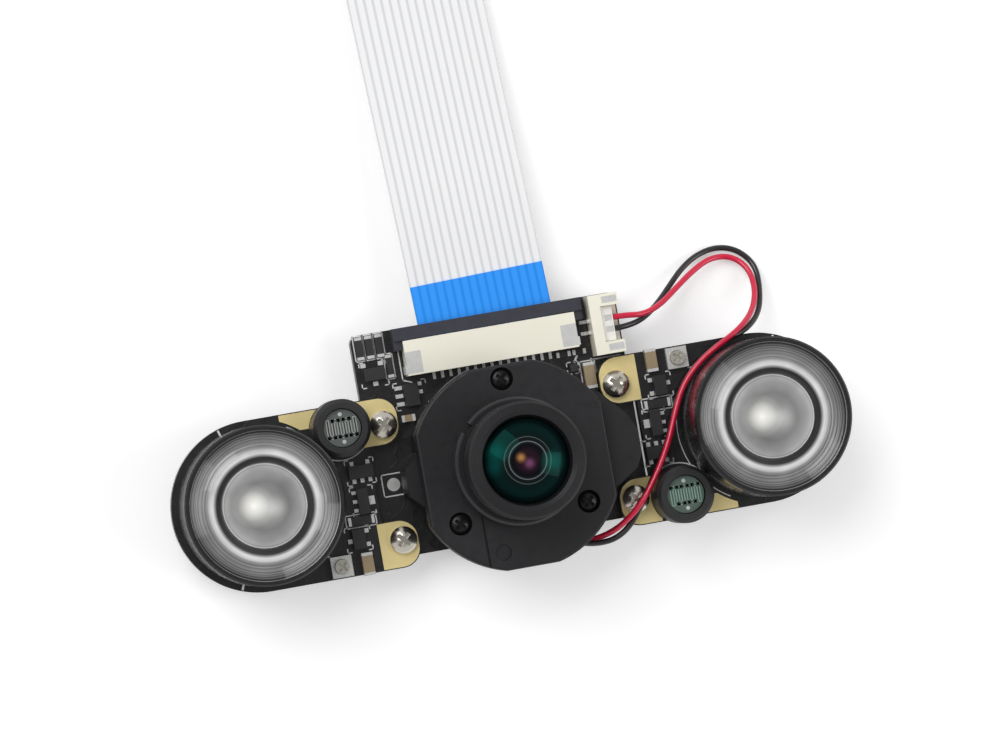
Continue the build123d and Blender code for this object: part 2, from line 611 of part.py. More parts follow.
# ---- lens
def lens_barrel():
    """Threaded barrel with a wide front ring, stepped inside for its glasses."""
    r_thread = THREAD_D / 2
    z_flange = Z_FRONT - LENS_FRONT_LEN
    z_neck = z_flange - LENS_NECK_LEN
    z_rear = Z_DECK + LENS_REAR_H
    z_edge = Z_FRONT - FRONT_GLASS_SEAT
    glass_bore = FRONT_GLASS_R + TURN_GAP
    z_seat = z_edge - FRONT_GLASS_EDGE_T - TURN_GAP
    rear_seat = z_rear + REAR_GLASS_T + 2 * SEAT_GAP
    points = [
        (REAR_GLASS_R + TURN_GAP, z_rear), (r_thread - 0.3, z_rear), (r_thread, z_rear + 0.3),
        (r_thread, z_neck), (LENS_NECK_R, z_neck), (LENS_NECK_R, z_flange), (LENS_FRONT_R - 0.25, z_flange),
        (LENS_FRONT_R, z_flange + 0.25), (LENS_FRONT_R, Z_FRONT - 0.3), (LENS_FRONT_R - 0.3, Z_FRONT),
        (LENS_LIP_R + 0.5, Z_FRONT), (LENS_LIP_R, Z_FRONT - 0.4), (glass_bore, z_edge), (glass_bore, z_seat),
        (LENS_BORE_R, z_seat), (LENS_BORE_R, rear_seat + 1.0), (REAR_BORE_R, rear_seat + 1.0),
        (REAR_BORE_R, rear_seat), (REAR_GLASS_R + TURN_GAP, rear_seat),
    ]
    return turned(points, AXIS_X, 0)


def lock_ring():
    """Ring nut that locks the barrel, with two spanner notches."""
    z0, z1 = Z_RING, Z_RING + LOCK_RING_T
    bore = THREAD_D / 2 + TURN_GAP
    ring = turned([(bore, z0), (LOCK_RING_R, z0), (LOCK_RING_R, z1 - 0.3), (LOCK_RING_R - 0.3, z1), (bore, z1)])
    for angle in (LOCK_NOTCH_ANGLE, LOCK_NOTCH_ANGLE + 180):
        start = LOCK_RING_R - LOCK_NOTCH_DEPTH
        ring -= Rot(0, 0, angle) * slab(start, LOCK_RING_R + 1, -LOCK_NOTCH_W / 2, LOCK_NOTCH_W / 2, z0 - 1, z1 + 1)
    return Pos(AXIS_X, 0, 0) * ring


def front_glass():
    """Wide-angle front lens: domed outside, hollow inside."""
    z_edge = Z_FRONT - FRONT_GLASS_SEAT
    z_low = z_edge - FRONT_GLASS_EDGE_T
    z_top = z_edge + FRONT_GLASS_CURVE_R - (FRONT_GLASS_CURVE_R**2 - FRONT_GLASS_R**2) ** 0.5
    hollow_r = LENS_BORE_R - 0.4
    z_hollow = z_top - FRONT_GLASS_MID_T
    edges = [
        dome(FRONT_GLASS_R, z_edge, z_top),
        Line((FRONT_GLASS_R, 0, z_edge), (FRONT_GLASS_R, 0, z_low)),
        Line((FRONT_GLASS_R, 0, z_low), (hollow_r, 0, z_low)),
        dome(hollow_r, z_low, z_hollow),
        Line((0, 0, z_hollow), (0, 0, z_top)),
    ]
    return turned_edges(edges, AXIS_X, 0)


def inner_ring():
    """Stop ring behind the front glass, with the small second lens in it."""
    z1 = Z_FRONT - FRONT_GLASS_SEAT - FRONT_GLASS_EDGE_T - MOVE_GAP
    z0 = z1 - INNER_RING_T
    outer = LENS_BORE_R - TURN_GAP
    return turned([(INNER_RING_R, z0), (outer, z0), (outer, z1), (INNER_RING_R + 0.5, z1), (INNER_RING_R, z1 - 0.5)],
                  AXIS_X, 0)


def second_glass():
    """Second lens, held in the stop ring."""
    z1 = Z_FRONT - FRONT_GLASS_SEAT - FRONT_GLASS_EDGE_T - MOVE_GAP - 0.5
    z0 = z1 - INNER_RING_T + 0.5
    edges = [
        dome(INNER_RING_R, z1 - 0.3, z1 + 0.1),
        Line((INNER_RING_R, 0, z1 - 0.3), (INNER_RING_R, 0, z0)),
        Line((INNER_RING_R, 0, z0), (0, 0, z0)),
        Line((0, 0, z0), (0, 0, z1 + 0.1)),
    ]
    return turned_edges(edges, AXIS_X, 0)


def rear_glass():
    """Rear lens, nearest to the filter."""
    z0 = Z_DECK + LENS_REAR_H + SEAT_GAP
    return disc(REAR_GLASS_R, z0, z0 + REAR_GLASS_T, AXIS_X, 0)


# ---- infrared filter drive, at its daytime stop: the cut filter is on the lens axis
def filter_place(angle):
    """Centre of a filter, angle degrees clockwise from the lens axis about the pivot."""
    return AXIS_X + ARM_R * sin(radians(angle)), PIVOT_Y + ARM_R * cos(radians(angle))


def filter_arm():
    """Swinging arm with two round frames."""
    face = Pos(AXIS_X, PIVOT_Y) * Circle(HUB_R)
    for angle in (0.0, FILTER_SWING):
        face += Pos(*filter_place(angle)) * Circle(FILTER_FRAME_R)
        bar = Pos(0, ARM_R / 2) * Rectangle(ARM_W, ARM_R)
        face += Pos(AXIS_X, PIVOT_Y) * Rot(0, 0, -angle) * bar
    arm = prism(face, Z_ARM, Z_ARM + ARM_T)
    for angle in (0.0, FILTER_SWING):
        arm -= disc(FILTER_R, Z_ARM - 1, Z_ARM + ARM_T + 1, *filter_place(angle))
    return arm - disc(PIVOT_R + THREAD_GAP, Z_ARM - 1, Z_ARM + ARM_T + 1, AXIS_X, PIVOT_Y)


def filter_glass(angle):
    """One filter, flush with the arm's underside."""
    return disc(FILTER_R, Z_ARM, Z_ARM + FILTER_T, *filter_place(angle))


def rotor_magnet():
    """Drive magnet with the pivot pin that carries the arm."""
    z1 = Z_SHELF - MOVE_GAP
    return disc(MAGNET_R, z1 - MAGNET_H, z1, AXIS_X, PIVOT_Y) + disc(PIVOT_R, z1 - 0.1, Z_ARM + ARM_T + 0.4, AXIS_X, PIVOT_Y)


def along_x(r, x0, x1, y, z):
    """A cylinder that lies along X."""
    return Pos((x0 + x1) / 2, y, z) * Rot(0, 90, 0) * Cylinder(r, x1 - x0)


def coil_height():
    """Height of the coil's axis."""
    return Z_SHELF - MOVE_GAP - MAGNET_H / 2


def drive_coil():
    """Coil on the yoke's cross bar, and the tag that its wires are soldered to."""
    y, z = PIVOT_Y - COIL_DROP, coil_height()
    half = COIL_LEN / 2
    coil = along_x(COIL_R, AXIS_X - half, AXIS_X + half, y, z)
    coil -= along_x(COIL_BORE_R, AXIS_X - half - 1, AXIS_X + half + 1, y, z)
    tag = slab(COIL_TAG_X - COIL_TAG_T, COIL_TAG_X, -10.75, -9.6, Z_DECK + 0.9, Z_SHELF)
    return group([coil, tag])


def coil_yoke():
    """Soft iron yoke: a cross bar through the coil and a leg on each side of the magnet."""
    y, z = PIVOT_Y - COIL_DROP, coil_height()
    half = COIL_LEN / 2
    yoke = along_x(COIL_BORE_R, AXIS_X - half - 0.1, AXIS_X + half + 0.1, y, z)
    for side in (-1, 1):
        x = AXIS_X + side * (half + YOKE_T / 2)
        yoke += slab(x - YOKE_T / 2, x + YOKE_T / 2, y - 0.5, PIVOT_Y + MAGNET_R / 2, z - 0.6, z + 0.6)
    return yoke


def back_screws():
    """Two screws up through the camera board into the base's lobes."""
    screws = []
    for x in BACK_SCREW_X:
        head = disc(BACK_HEAD_D / 2, Z_CAM - BACK_HEAD_H, Z_CAM, x, BACK_SCREW_Y)
        head += disc(BACK_SCREW_D / 2, Z_CAM - 0.1, Z_CAM + BACK_SCREW_LEN, x, BACK_SCREW_Y)
        for angle in (45, 135):
            bar = slab(-0.75, 0.75, -0.17, 0.17, Z_CAM - BACK_HEAD_H - 1, Z_CAM - BACK_HEAD_H + 0.5)
            head -= Pos(x, BACK_SCREW_Y, 0) * Rot(0, 0, angle) * bar
        screws.append(head)
    return group(screws)


# ---- ribbon socket
def ribbon_socket_body():
    """Cream body with a slot for the ribbon and seats for the two clips."""
    left, right = SOCKET_X - SOCKET_W / 2, SOCKET_X + SOCKET_W / 2
    body = slab(left, right, SOCKET_BACK_Y, SOCKET_FRONT_Y, Z_DECK, Z_DECK + SOCKET_H)
    half = RIBBON_W / 2 + SLOT_SIDE_GAP
    z_slot = Z_DECK + RIBBON_Z - RIBBON_T / 2 - SEAT_GAP
    body -= slab(SOCKET_X - half, SOCKET_X + half, SOCKET_FRONT_Y - SLOT_DEPTH, SOCKET_FRONT_Y + 1, z_slot, z_slot + SLOT_H)
    for clip in clip_boxes(0.0):
        body -= clip
    return body


def clip_boxes(grow):
    """The two clips' plates, sunk in the body's top at each end."""
    y0 = SOCKET_BACK_Y + 0.2
    z1 = Z_DECK + SOCKET_H
    boxes = []
    for side in (-1, 1):
        x = SOCKET_X + side * (SOCKET_W / 2 - CLIP_W / 2)
        boxes.append(slab(x - CLIP_W / 2, x + CLIP_W / 2, y0, y0 + CLIP_LEN, z1 - CLIP_T, z1 + grow))
    return boxes


def ribbon_socket_clips():
    """Metal hold-down clips: a plate on top and a foot beside the body."""
    clips = []
    for side, plate in zip((-1, 1), clip_boxes(0.0)):
        x0 = SOCKET_X + side * SOCKET_W / 2
        x1 = x0 + side * CLIP_T
        y0 = SOCKET_BACK_Y + 0.2
        leg = slab(min(x0, x1), max(x0, x1), y0, y0 + 1.0, Z_DECK, Z_DECK + SOCKET_H)
        clips.append(plate + leg)
    return group(clips)


def ribbon_socket_tails():
    """Fifteen soldered tails along the socket's back."""
    tails = []
    for way in range(WAYS):
        x = SOCKET_X + (way - (WAYS - 1) / 2) * WAY_PITCH
        tails.append(slab(x - TAIL_W / 2, x + TAIL_W / 2, SOCKET_BACK_Y - TAIL_LEN, SOCKET_BACK_Y, Z_DECK, Z_DECK + TAIL_T))
    return group(tails)


def ribbon_lock_bar():
    """Lock bar over the ribbon, with an arm along each end of the socket."""
    y0 = SOCKET_FRONT_Y + SEAT_GAP
    y1 = y0 + LOCK_BAR_D
    inner = SOCKET_W / 2 + SEAT_GAP
    outer = inner + LOCK_BAR_ARM_W
    top = Z_DECK + SOCKET_H - SEAT_GAP
    bar = slab(SOCKET_X - outer, SOCKET_X + outer, y0, y1, top - LOCK_BAR_T, top)
    z_low = Z_DECK + SEAT_GAP
    half = RIBBON_W / 2 + SLOT_SIDE_GAP + 0.3
    for side in (-1, 1):
        end = sorted((SOCKET_X + side * half, SOCKET_X + side * outer))
        bar += slab(end[0], end[1], y0, y1, z_low, top)
        arm = sorted((SOCKET_X + side * inner, SOCKET_X + side * outer))
        bar += slab(arm[0], arm[1], y1 - LOCK_BAR_ARM_LEN, y1, z_low, top - 0.4)
    return bar


# ---- ribbon
def ribbon_plane(along, height=0.0):
    """The plane that the ribbon leaves the socket in: x runs out along it, y runs up."""
    lean = radians(RIBBON_LEAN)
    out = (-sin(lean), cos(lean), 0)
    origin = (SOCKET_X + out[0] * along, SOCKET_FRONT_Y + out[1] * along, height)
    return Plane(origin=origin, x_dir=out, z_dir=(cos(lean), sin(lean), 0))


def corner_radii(points):
    """Arc radius at each inner point of a route: 0.45 of the shorter run over tan of half the turn."""
    radii = []
    for a, b, c in zip(points, points[1:], points[2:]):
        before, after = Vector(*b) - Vector(*a), Vector(*c) - Vector(*b)
        turn = radians(before.get_angle(after))
        radii.append(0.45 * min(before.length, after.length) / tan(turn / 2))
    return radii


def smooth_path(points):
    """Straight runs joined by tangent arcs."""
    return FilletPolyline(*points, radius=corner_radii(points))


def ribbon_strip(points, width, thickness, lift=0.0):
    """A flat strip that follows points of the ribbon's plane."""
    lifted = [(x, y + lift) for x, y in points]
    path = smooth_path(lifted) if len(points) > 2 else Line(*lifted)
    strip = extrude(trace(path, line_width=thickness), width / 2, both=True)
    return ribbon_plane(0.0).location * strip


def point_along(a, b, distance):
    """The point at a distance from a towards b."""
    step = (Vector(*b) - Vector(*a)).normalized() * distance
    return a[0] + step.X, a[1] + step.Y


def near_stiffener():
    """Blue stiffener on top of the ribbon's near end."""
    start, nxt = RIBBON_ROUTE[0], RIBBON_ROUTE[1]
    end = point_along(start, nxt, STIFFENER_OUT - start[0])
    return ribbon_strip([start, end], RIBBON_W, STIFFENER_T, (RIBBON_T + STIFFENER_T) / 2)


def far_stiffener():
    """Blue stiffener on top of the ribbon's far end."""
    end, before = RIBBON_ROUTE[-1], RIBBON_ROUTE[-2]
    start = point_along(end, before, FAR_STIFFENER_LEN)
    return ribbon_strip([start, end], RIBBON_W, STIFFENER_T, (RIBBON_T + STIFFENER_T) / 2)


def far_contacts():
    """Fifteen bare contacts under the ribbon's far end."""
    end, before = RIBBON_ROUTE[-1], RIBBON_ROUTE[-2]
    start = point_along(end, before, FAR_CONTACT_LEN)
    strip = ribbon_strip([start, end], CONTACT_W, CONTACT_T, -(RIBBON_T + CONTACT_T) / 2)
    lean = radians(RIBBON_LEAN)
    contacts = []
    for way in range(WAYS):
        shift = (way - (WAYS - 1) / 2) * WAY_PITCH
        contacts.append(Pos(shift * cos(lean), shift * sin(lean), 0) * strip)
    return group(contacts)


# ---- lead socket, plug and wires
def lead_socket():
    """Cream two-way socket: two cheeks, a back wall, a floor and a short roof."""
    x0, x1 = LEAD_SOCKET_X
    half = LEAD_SOCKET_W / 2
    z0, z1 = Z_DECK, Z_DECK + LEAD_SOCKET_H
    body = slab(x0, x1, LEAD_SOCKET_Y - half, LEAD_SOCKET_Y + half, z0, z1)
    inside = half - LEAD_CHEEK_W
    back = x0 + LEAD_WALL
    body -= slab(back, x1 + 1, LEAD_SOCKET_Y - inside, LEAD_SOCKET_Y + inside, z0 + LEAD_WALL, z1 - LEAD_WALL)
    body -= slab(x0 + LEAD_TOP_D, x1 + 1, LEAD_SOCKET_Y - inside, LEAD_SOCKET_Y + inside, z0 + LEAD_WALL, z1 + 1)
    for clip in lead_clip_boxes():
        body -= clip
    for y in (RED_WIRE_Y, BLACK_WIRE_Y):
        body -= lead_pin(y)
    return body


def lead_clip_boxes():
    """The metal nails let into the top of the cheeks."""
    length, width, depth = LEAD_CLIP_SIZE
    x = LEAD_SOCKET_X[1] - 0.15 - length
    z1 = Z_DECK + LEAD_SOCKET_H
    boxes = []
    for side in (-1, 1):
        y = LEAD_SOCKET_Y + side * (LEAD_SOCKET_W / 2 - LEAD_CHEEK_W / 2)
        boxes.append(slab(x, x + length, y - width / 2, y + width / 2, z1 - depth, z1))
    return boxes


def lead_pin(y):
    """One pin through the socket's back wall, with its tail on the board behind it."""
    half = LEAD_PIN_W / 2
    z = RED_ROUTE[0][2]
    x0 = LEAD_SOCKET_X[0]
    pin = slab(x0 - 0.2, x0 + LEAD_WALL, y - half, y + half, z - half, z + half)
    tail = slab(x0 - LEAD_TAIL_LEN, x0, y - half, y + half, Z_DECK, Z_DECK + TAIL_T)
    return pin + tail + slab(x0 - 0.3, x0 - 0.1, y - half, y + half, Z_DECK, z + half)


def lead_metal():
    """Pins and nails of the lead socket, and the crimps in the plug's windows."""
    pins = [lead_pin(y) for y in (RED_WIRE_Y, BLACK_WIRE_Y)]
    z1 = Z_DECK + LEAD_SOCKET_H - LEAD_WALL - PLUG_GAP
    x1 = WIRE_EXIT_X - 0.1
    length, width, depth = PLUG_WINDOW
    crimps = [
        slab(x1 - length, x1, y - width / 2, y + width / 2, z1 - depth, z1 - 0.1)
        for y in (RED_WIRE_Y, BLACK_WIRE_Y)
    ]
    return group(pins + lead_clip_boxes() + crimps)


def lead_plug():
    """White plug in the socket, with a window over each crimp."""
    x0 = LEAD_SOCKET_X[0] + LEAD_WALL + PLUG_GAP
    half = LEAD_SOCKET_W / 2 - LEAD_CHEEK_W - PLUG_GAP
    z0 = Z_DECK + LEAD_WALL + PLUG_GAP
    z1 = Z_DECK + LEAD_SOCKET_H - LEAD_WALL - PLUG_GAP
    body = slab(x0, WIRE_EXIT_X, LEAD_SOCKET_Y - half, LEAD_SOCKET_Y + half, z0, z1)
    length, width, depth = PLUG_WINDOW
    for y in (RED_WIRE_Y, BLACK_WIRE_Y):
        body -= slab(WIRE_EXIT_X - 0.1 - length, WIRE_EXIT_X - 0.1, y - width / 2, y + width / 2, z1 - depth, z1 + 1)
    return body


def wire(route):
    """A round wire along a route of straight runs and tangent arcs."""
    path = smooth_path(route)
    start = Plane(origin=path @ 0, z_dir=path % 0)
    tube = sweep(start * Circle(WIRE_D / 2), path=path)
    return tube, path


# ---- image sensor
def image_sensor():
    """Sensor package on the camera board."""
    half = SENSOR_CHIP_W / 2
    return slab(AXIS_X - half, AXIS_X + half, -half, half, Z_DECK, Z_DECK + SENSOR_CHIP_T)


def sensor_glass():
    """Cover glass on the sensor."""
    half = SENSOR_GLASS_W / 2
    z0 = Z_DECK + SENSOR_CHIP_T
    return slab(AXIS_X - half, AXIS_X + half, -half, half, z0, z0 + SENSOR_GLASS_T)


def main():
    """Build every node and write it."""
    os.makedirs("parts", exist_ok=True)

    save("camera_board", camera_board())
    save("image_sensor", image_sensor())
    save("sensor_glass", sensor_glass())
    save_small_parts("camera", lambda part: part, Z_DECK, CAM_CHIPS, CAM_LEGS, CAM_SMALL, CAM_CAPS)

    lamp_pieces = {
        "board": lamp_board(), "pads": lamp_pads(), "cup": lamp_cup(), "lens": lamp_lens(),
        "emitter": lamp_emitter(), "light_sensor": light_sensor(), "sensor_sleeve": sensor_sleeve(),
        "trimmer_body": trimmer_body(), "trimmer_rotor": trimmer_rotor(),
    }
    for side, turn in (("left", lambda part: part), ("right", half_turn)):
        for name, part in lamp_pieces.items():
            save(f"{side}_lamp_{name}", turn(part))
        save_small_parts(f"{side}_lamp", turn, Z_LAMP_TOP, LAMP_CHIPS, LAMP_LEGS, LAMP_SMALL, LAMP_CAPS)

    save("board_screws", group([
        pan_screw(x, y, Z_HEAD, Z_HEAD - SCREW_LEN, HEAD_D, HEAD_H, SCREW_D) for x, y in screw_places()
    ]))
    save("board_nuts", group([nut(x, y, Z_NUT) for x, y in screw_places()]))

    save("housing_base", housing_base())
    save("housing_cover", housing_cover())
    seat = Z_COVER_TOP - COVER_HEAD_POCKET
    save("cover_screws", group([
        pan_screw(x, y, seat, seat - COVER_SCREW_LEN + COVER_T, COVER_HEAD_D, COVER_HEAD_H, COVER_SCREW_D)
        for x, y in cover_screw_places()
    ]))
    save("back_screws", back_screws())
    save("filter_arm", filter_arm())
    save("infrared_cut_glass", filter_glass(0.0))
    save("clear_glass", filter_glass(FILTER_SWING))
    save("rotor_magnet", rotor_magnet())
    save("drive_coil", drive_coil())
    save("coil_yoke", coil_yoke())

    save("lens_barrel", lens_barrel())
    save("lock_ring", lock_ring())
    save("front_glass", front_glass())
    save("lens_inner_ring", inner_ring())
    save("inner_glasses", group([second_glass(), rear_glass()]))

    save("ribbon_socket_body", ribbon_socket_body())
    save("ribbon_socket_clips", ribbon_socket_clips())
    save("ribbon_socket_tails", ribbon_socket_tails())
    save("ribbon_lock_bar", ribbon_lock_bar())
    save("ribbon_cable", ribbon_strip(RIBBON_ROUTE, RIBBON_W, RIBBON_T))
    save("ribbon_near_stiffener", near_stiffener())
    save("ribbon_far_stiffener", far_stiffener())
    save("ribbon_far_contacts", far_contacts())

    save("lead_socket", lead_socket())
    save("lead_metal", lead_metal())
    save("lead_plug", lead_plug())
    print("ribbon radii", [round(r) for r in corner_radii(RIBBON_ROUTE)])
    for name, route in (("red_wire", RED_ROUTE), ("black_wire", BLACK_ROUTE)):
        tube, path = wire(route)
        save(name, tube)
        radii = [round(r, 1) for r in corner_radii(route)]
        section = 3.141593 * WIRE_D**2 / 4
        print(name, "length", round(path.length, 1), "volume ratio", round(tube.volume / section / path.length, 4), radii)
    print("filter swing", round(FILTER_SWING, 2))


main()
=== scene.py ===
"""Looks and stage for a night-vision camera module, laid out as a Blender add-on."""
import math

import bpy
from mathutils import Matrix, Vector


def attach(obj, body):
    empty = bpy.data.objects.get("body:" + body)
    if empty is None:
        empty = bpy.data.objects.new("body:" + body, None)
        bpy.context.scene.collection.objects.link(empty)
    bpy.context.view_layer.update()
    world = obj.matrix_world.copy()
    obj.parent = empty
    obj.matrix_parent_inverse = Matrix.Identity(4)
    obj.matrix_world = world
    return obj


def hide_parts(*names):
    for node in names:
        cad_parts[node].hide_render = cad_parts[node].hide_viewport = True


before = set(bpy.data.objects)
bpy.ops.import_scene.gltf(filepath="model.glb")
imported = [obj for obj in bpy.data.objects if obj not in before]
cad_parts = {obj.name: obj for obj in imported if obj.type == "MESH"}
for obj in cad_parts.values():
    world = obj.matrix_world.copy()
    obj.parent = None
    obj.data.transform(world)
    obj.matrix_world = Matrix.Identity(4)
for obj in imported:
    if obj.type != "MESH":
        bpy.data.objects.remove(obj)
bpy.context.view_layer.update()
MM = 0.001

bl_info = {
    "name": "Night-vision camera module",
    "version": (1, 0, 0),
    "blender": (4, 5, 0),
    "location": "View3D > Sidebar > Camera module",
    "description": "Finishes, cords, board prints and stage for the camera module",
    "category": "Object",
}

# ---- places on the module, in millimetres
LENS_AXIS = (-0.25, 0.0)
LAMP_X = 30.2
BOARD_TOP = 4.35
LAMP_TOP = 5.95
PRINT_LIFT = 0.012
SENSOR_PLACE = (-19.3, 7.3)
SENSOR_FACE = 10.25
SOCKET_PLACE = (0.15, 16.1)
RIBBON_LEAN = math.radians(1.8)
RIBBON_HIDDEN = 3.2          # length inside the socket
RIBBON_PITCHES = 16          # ways and edges across the ribbon, one for each millimetre
NEAR_STIFFENER = 9.5
FAR_STIFFENER = 6.0
# along the ribbon from the socket's face, then height
RIBBON_ROUTE = [(-3.2, 5.60), (10.0, 5.45), (27.0, 3.30), (54.0, 0.70), (100.0, 0.35), (146.5, 0.75)]
RED_ROUTE = [
    (14.9, 14.7, 6.05), (16.5, 14.7, 6.05), (18.7, 14.4, 5.8), (21.0, 15.1, 4.6), (23.4, 16.7, 3.3),
    (25.9, 18.4, 2.1), (28.5, 19.7, 1.2), (31.1, 19.6, 0.9), (32.9, 17.9, 1.5), (33.1, 15.3, 3.0),
    (31.9, 12.7, 5.4), (29.6, 10.85, 7.9), (27.2, 9.6, 8.4), (24.1, 7.9, 8.3), (21.5, 5.3, 8.2),
    (20.0, 2.2, 8.3), (18.7, -0.9, 8.45), (17.0, -3.8, 8.5), (14.8, -6.8, 8.95), (12.6, -8.9, 8.4),
    (10.6, -10.2, 6.9), (8.2, -10.8, 6.0), (5.8, -10.5, 5.85), (3.55, -10.2, 5.85),
]
BLACK_ROUTE = [
    (14.9, 13.35, 6.05), (16.5, 13.35, 6.05), (18.8, 13.9, 5.0), (21.1, 15.45, 3.4), (23.0, 17.2, 2.2),
    (25.0, 19.1, 1.4), (27.2, 20.4, 0.8), (29.7, 20.9, 0.6), (32.1, 20.2, 0.65), (33.9, 18.1, 0.9),
    (33.8, 15.3, 2.2), (32.8, 12.3, 4.3), (30.4, 10.5, 6.8), (27.3, 9.65, 7.45), (24.1, 7.9, 7.4),
    (21.5, 5.3, 7.3), (20.0, 2.2, 7.4), (18.7, -0.9, 7.55), (16.9, -3.8, 7.6), (14.8, -6.9, 8.0),
    (13.0, -9.6, 7.1), (10.9, -11.1, 6.9), (8.4, -11.3, 6.85), (5.9, -10.7, 6.75), (3.55, -10.3, 6.75),
]
CAMERA_PLACE = (-89.2, 7.6, 655.8)
CAMERA_AIM = (0.88, 10.25, 4.35)
CAMERA_UP = (0.1738, 0.9848, 0.0)

# ---- stage, in metres
FLOOR_HALF = 3.0
CLIP_NEAR, CLIP_FAR = 0.01, 10.0
# name, place, size, share of the key lamp's power
LAMPS = [("key lamp", (-0.35, 0.42, 0.70), 0.6, 1.0), ("fill lamp", (0.55, -0.15, 0.6), 0.45, 0.4)]


# ---- sizes and colours
class CordSizes(bpy.types.PropertyGroup):
    """Sizes of the free cords."""

    wire: bpy.props.FloatProperty(
        name="Wire", description="Wire diameter", default=0.7 * MM, unit="LENGTH")
    ribbon: bpy.props.FloatProperty(
        name="Ribbon", description="Ribbon width", default=16 * MM, unit="LENGTH")
    ribbon_thickness: bpy.props.FloatProperty(
        name="Ribbon thickness", description="Ribbon thickness", default=0.2 * MM, unit="LENGTH")
    wire_length: bpy.props.FloatVectorProperty(
        name="Wire lengths", description="Red, then black", size=2, default=(0.0682, 0.0716), unit="LENGTH")
    ribbon_length: bpy.props.FloatProperty(
        name="Ribbon length", description="Socket to far end", default=0.150, unit="LENGTH")


class Colours(bpy.types.PropertyGroup):
    """Colours of the module's finishes."""

    red: bpy.props.FloatVectorProperty(
        name="Red wire", description="Sheath", subtype="COLOR", default=(0.66, 0.006, 0.05))
    blue: bpy.props.FloatVectorProperty(
        name="Stiffener", description="Film on the ribbon's ends", subtype="COLOR",
        default=(0.005, 0.26, 0.86))
    cream: bpy.props.FloatVectorProperty(
        name="Connectors", description="Socket plastic", subtype="COLOR", default=(0.93, 0.89, 0.75))
    gold: bpy.props.FloatVectorProperty(
        name="Pads", description="Gold plating", subtype="COLOR", default=(0.92, 0.76, 0.36))


class StageSettings(bpy.types.PropertyGroup):
    """Floor and lamps."""

    focal: bpy.props.FloatProperty(
        name="Lens", description="Camera lens", default=200.7, unit="CAMERA")
    key_power: bpy.props.FloatProperty(
        name="Key lamp", description="Power of the large lamp", default=4.4, unit="POWER")
    world: bpy.props.FloatProperty(
        name="World", description="Strength of the light from all round", default=0.62)


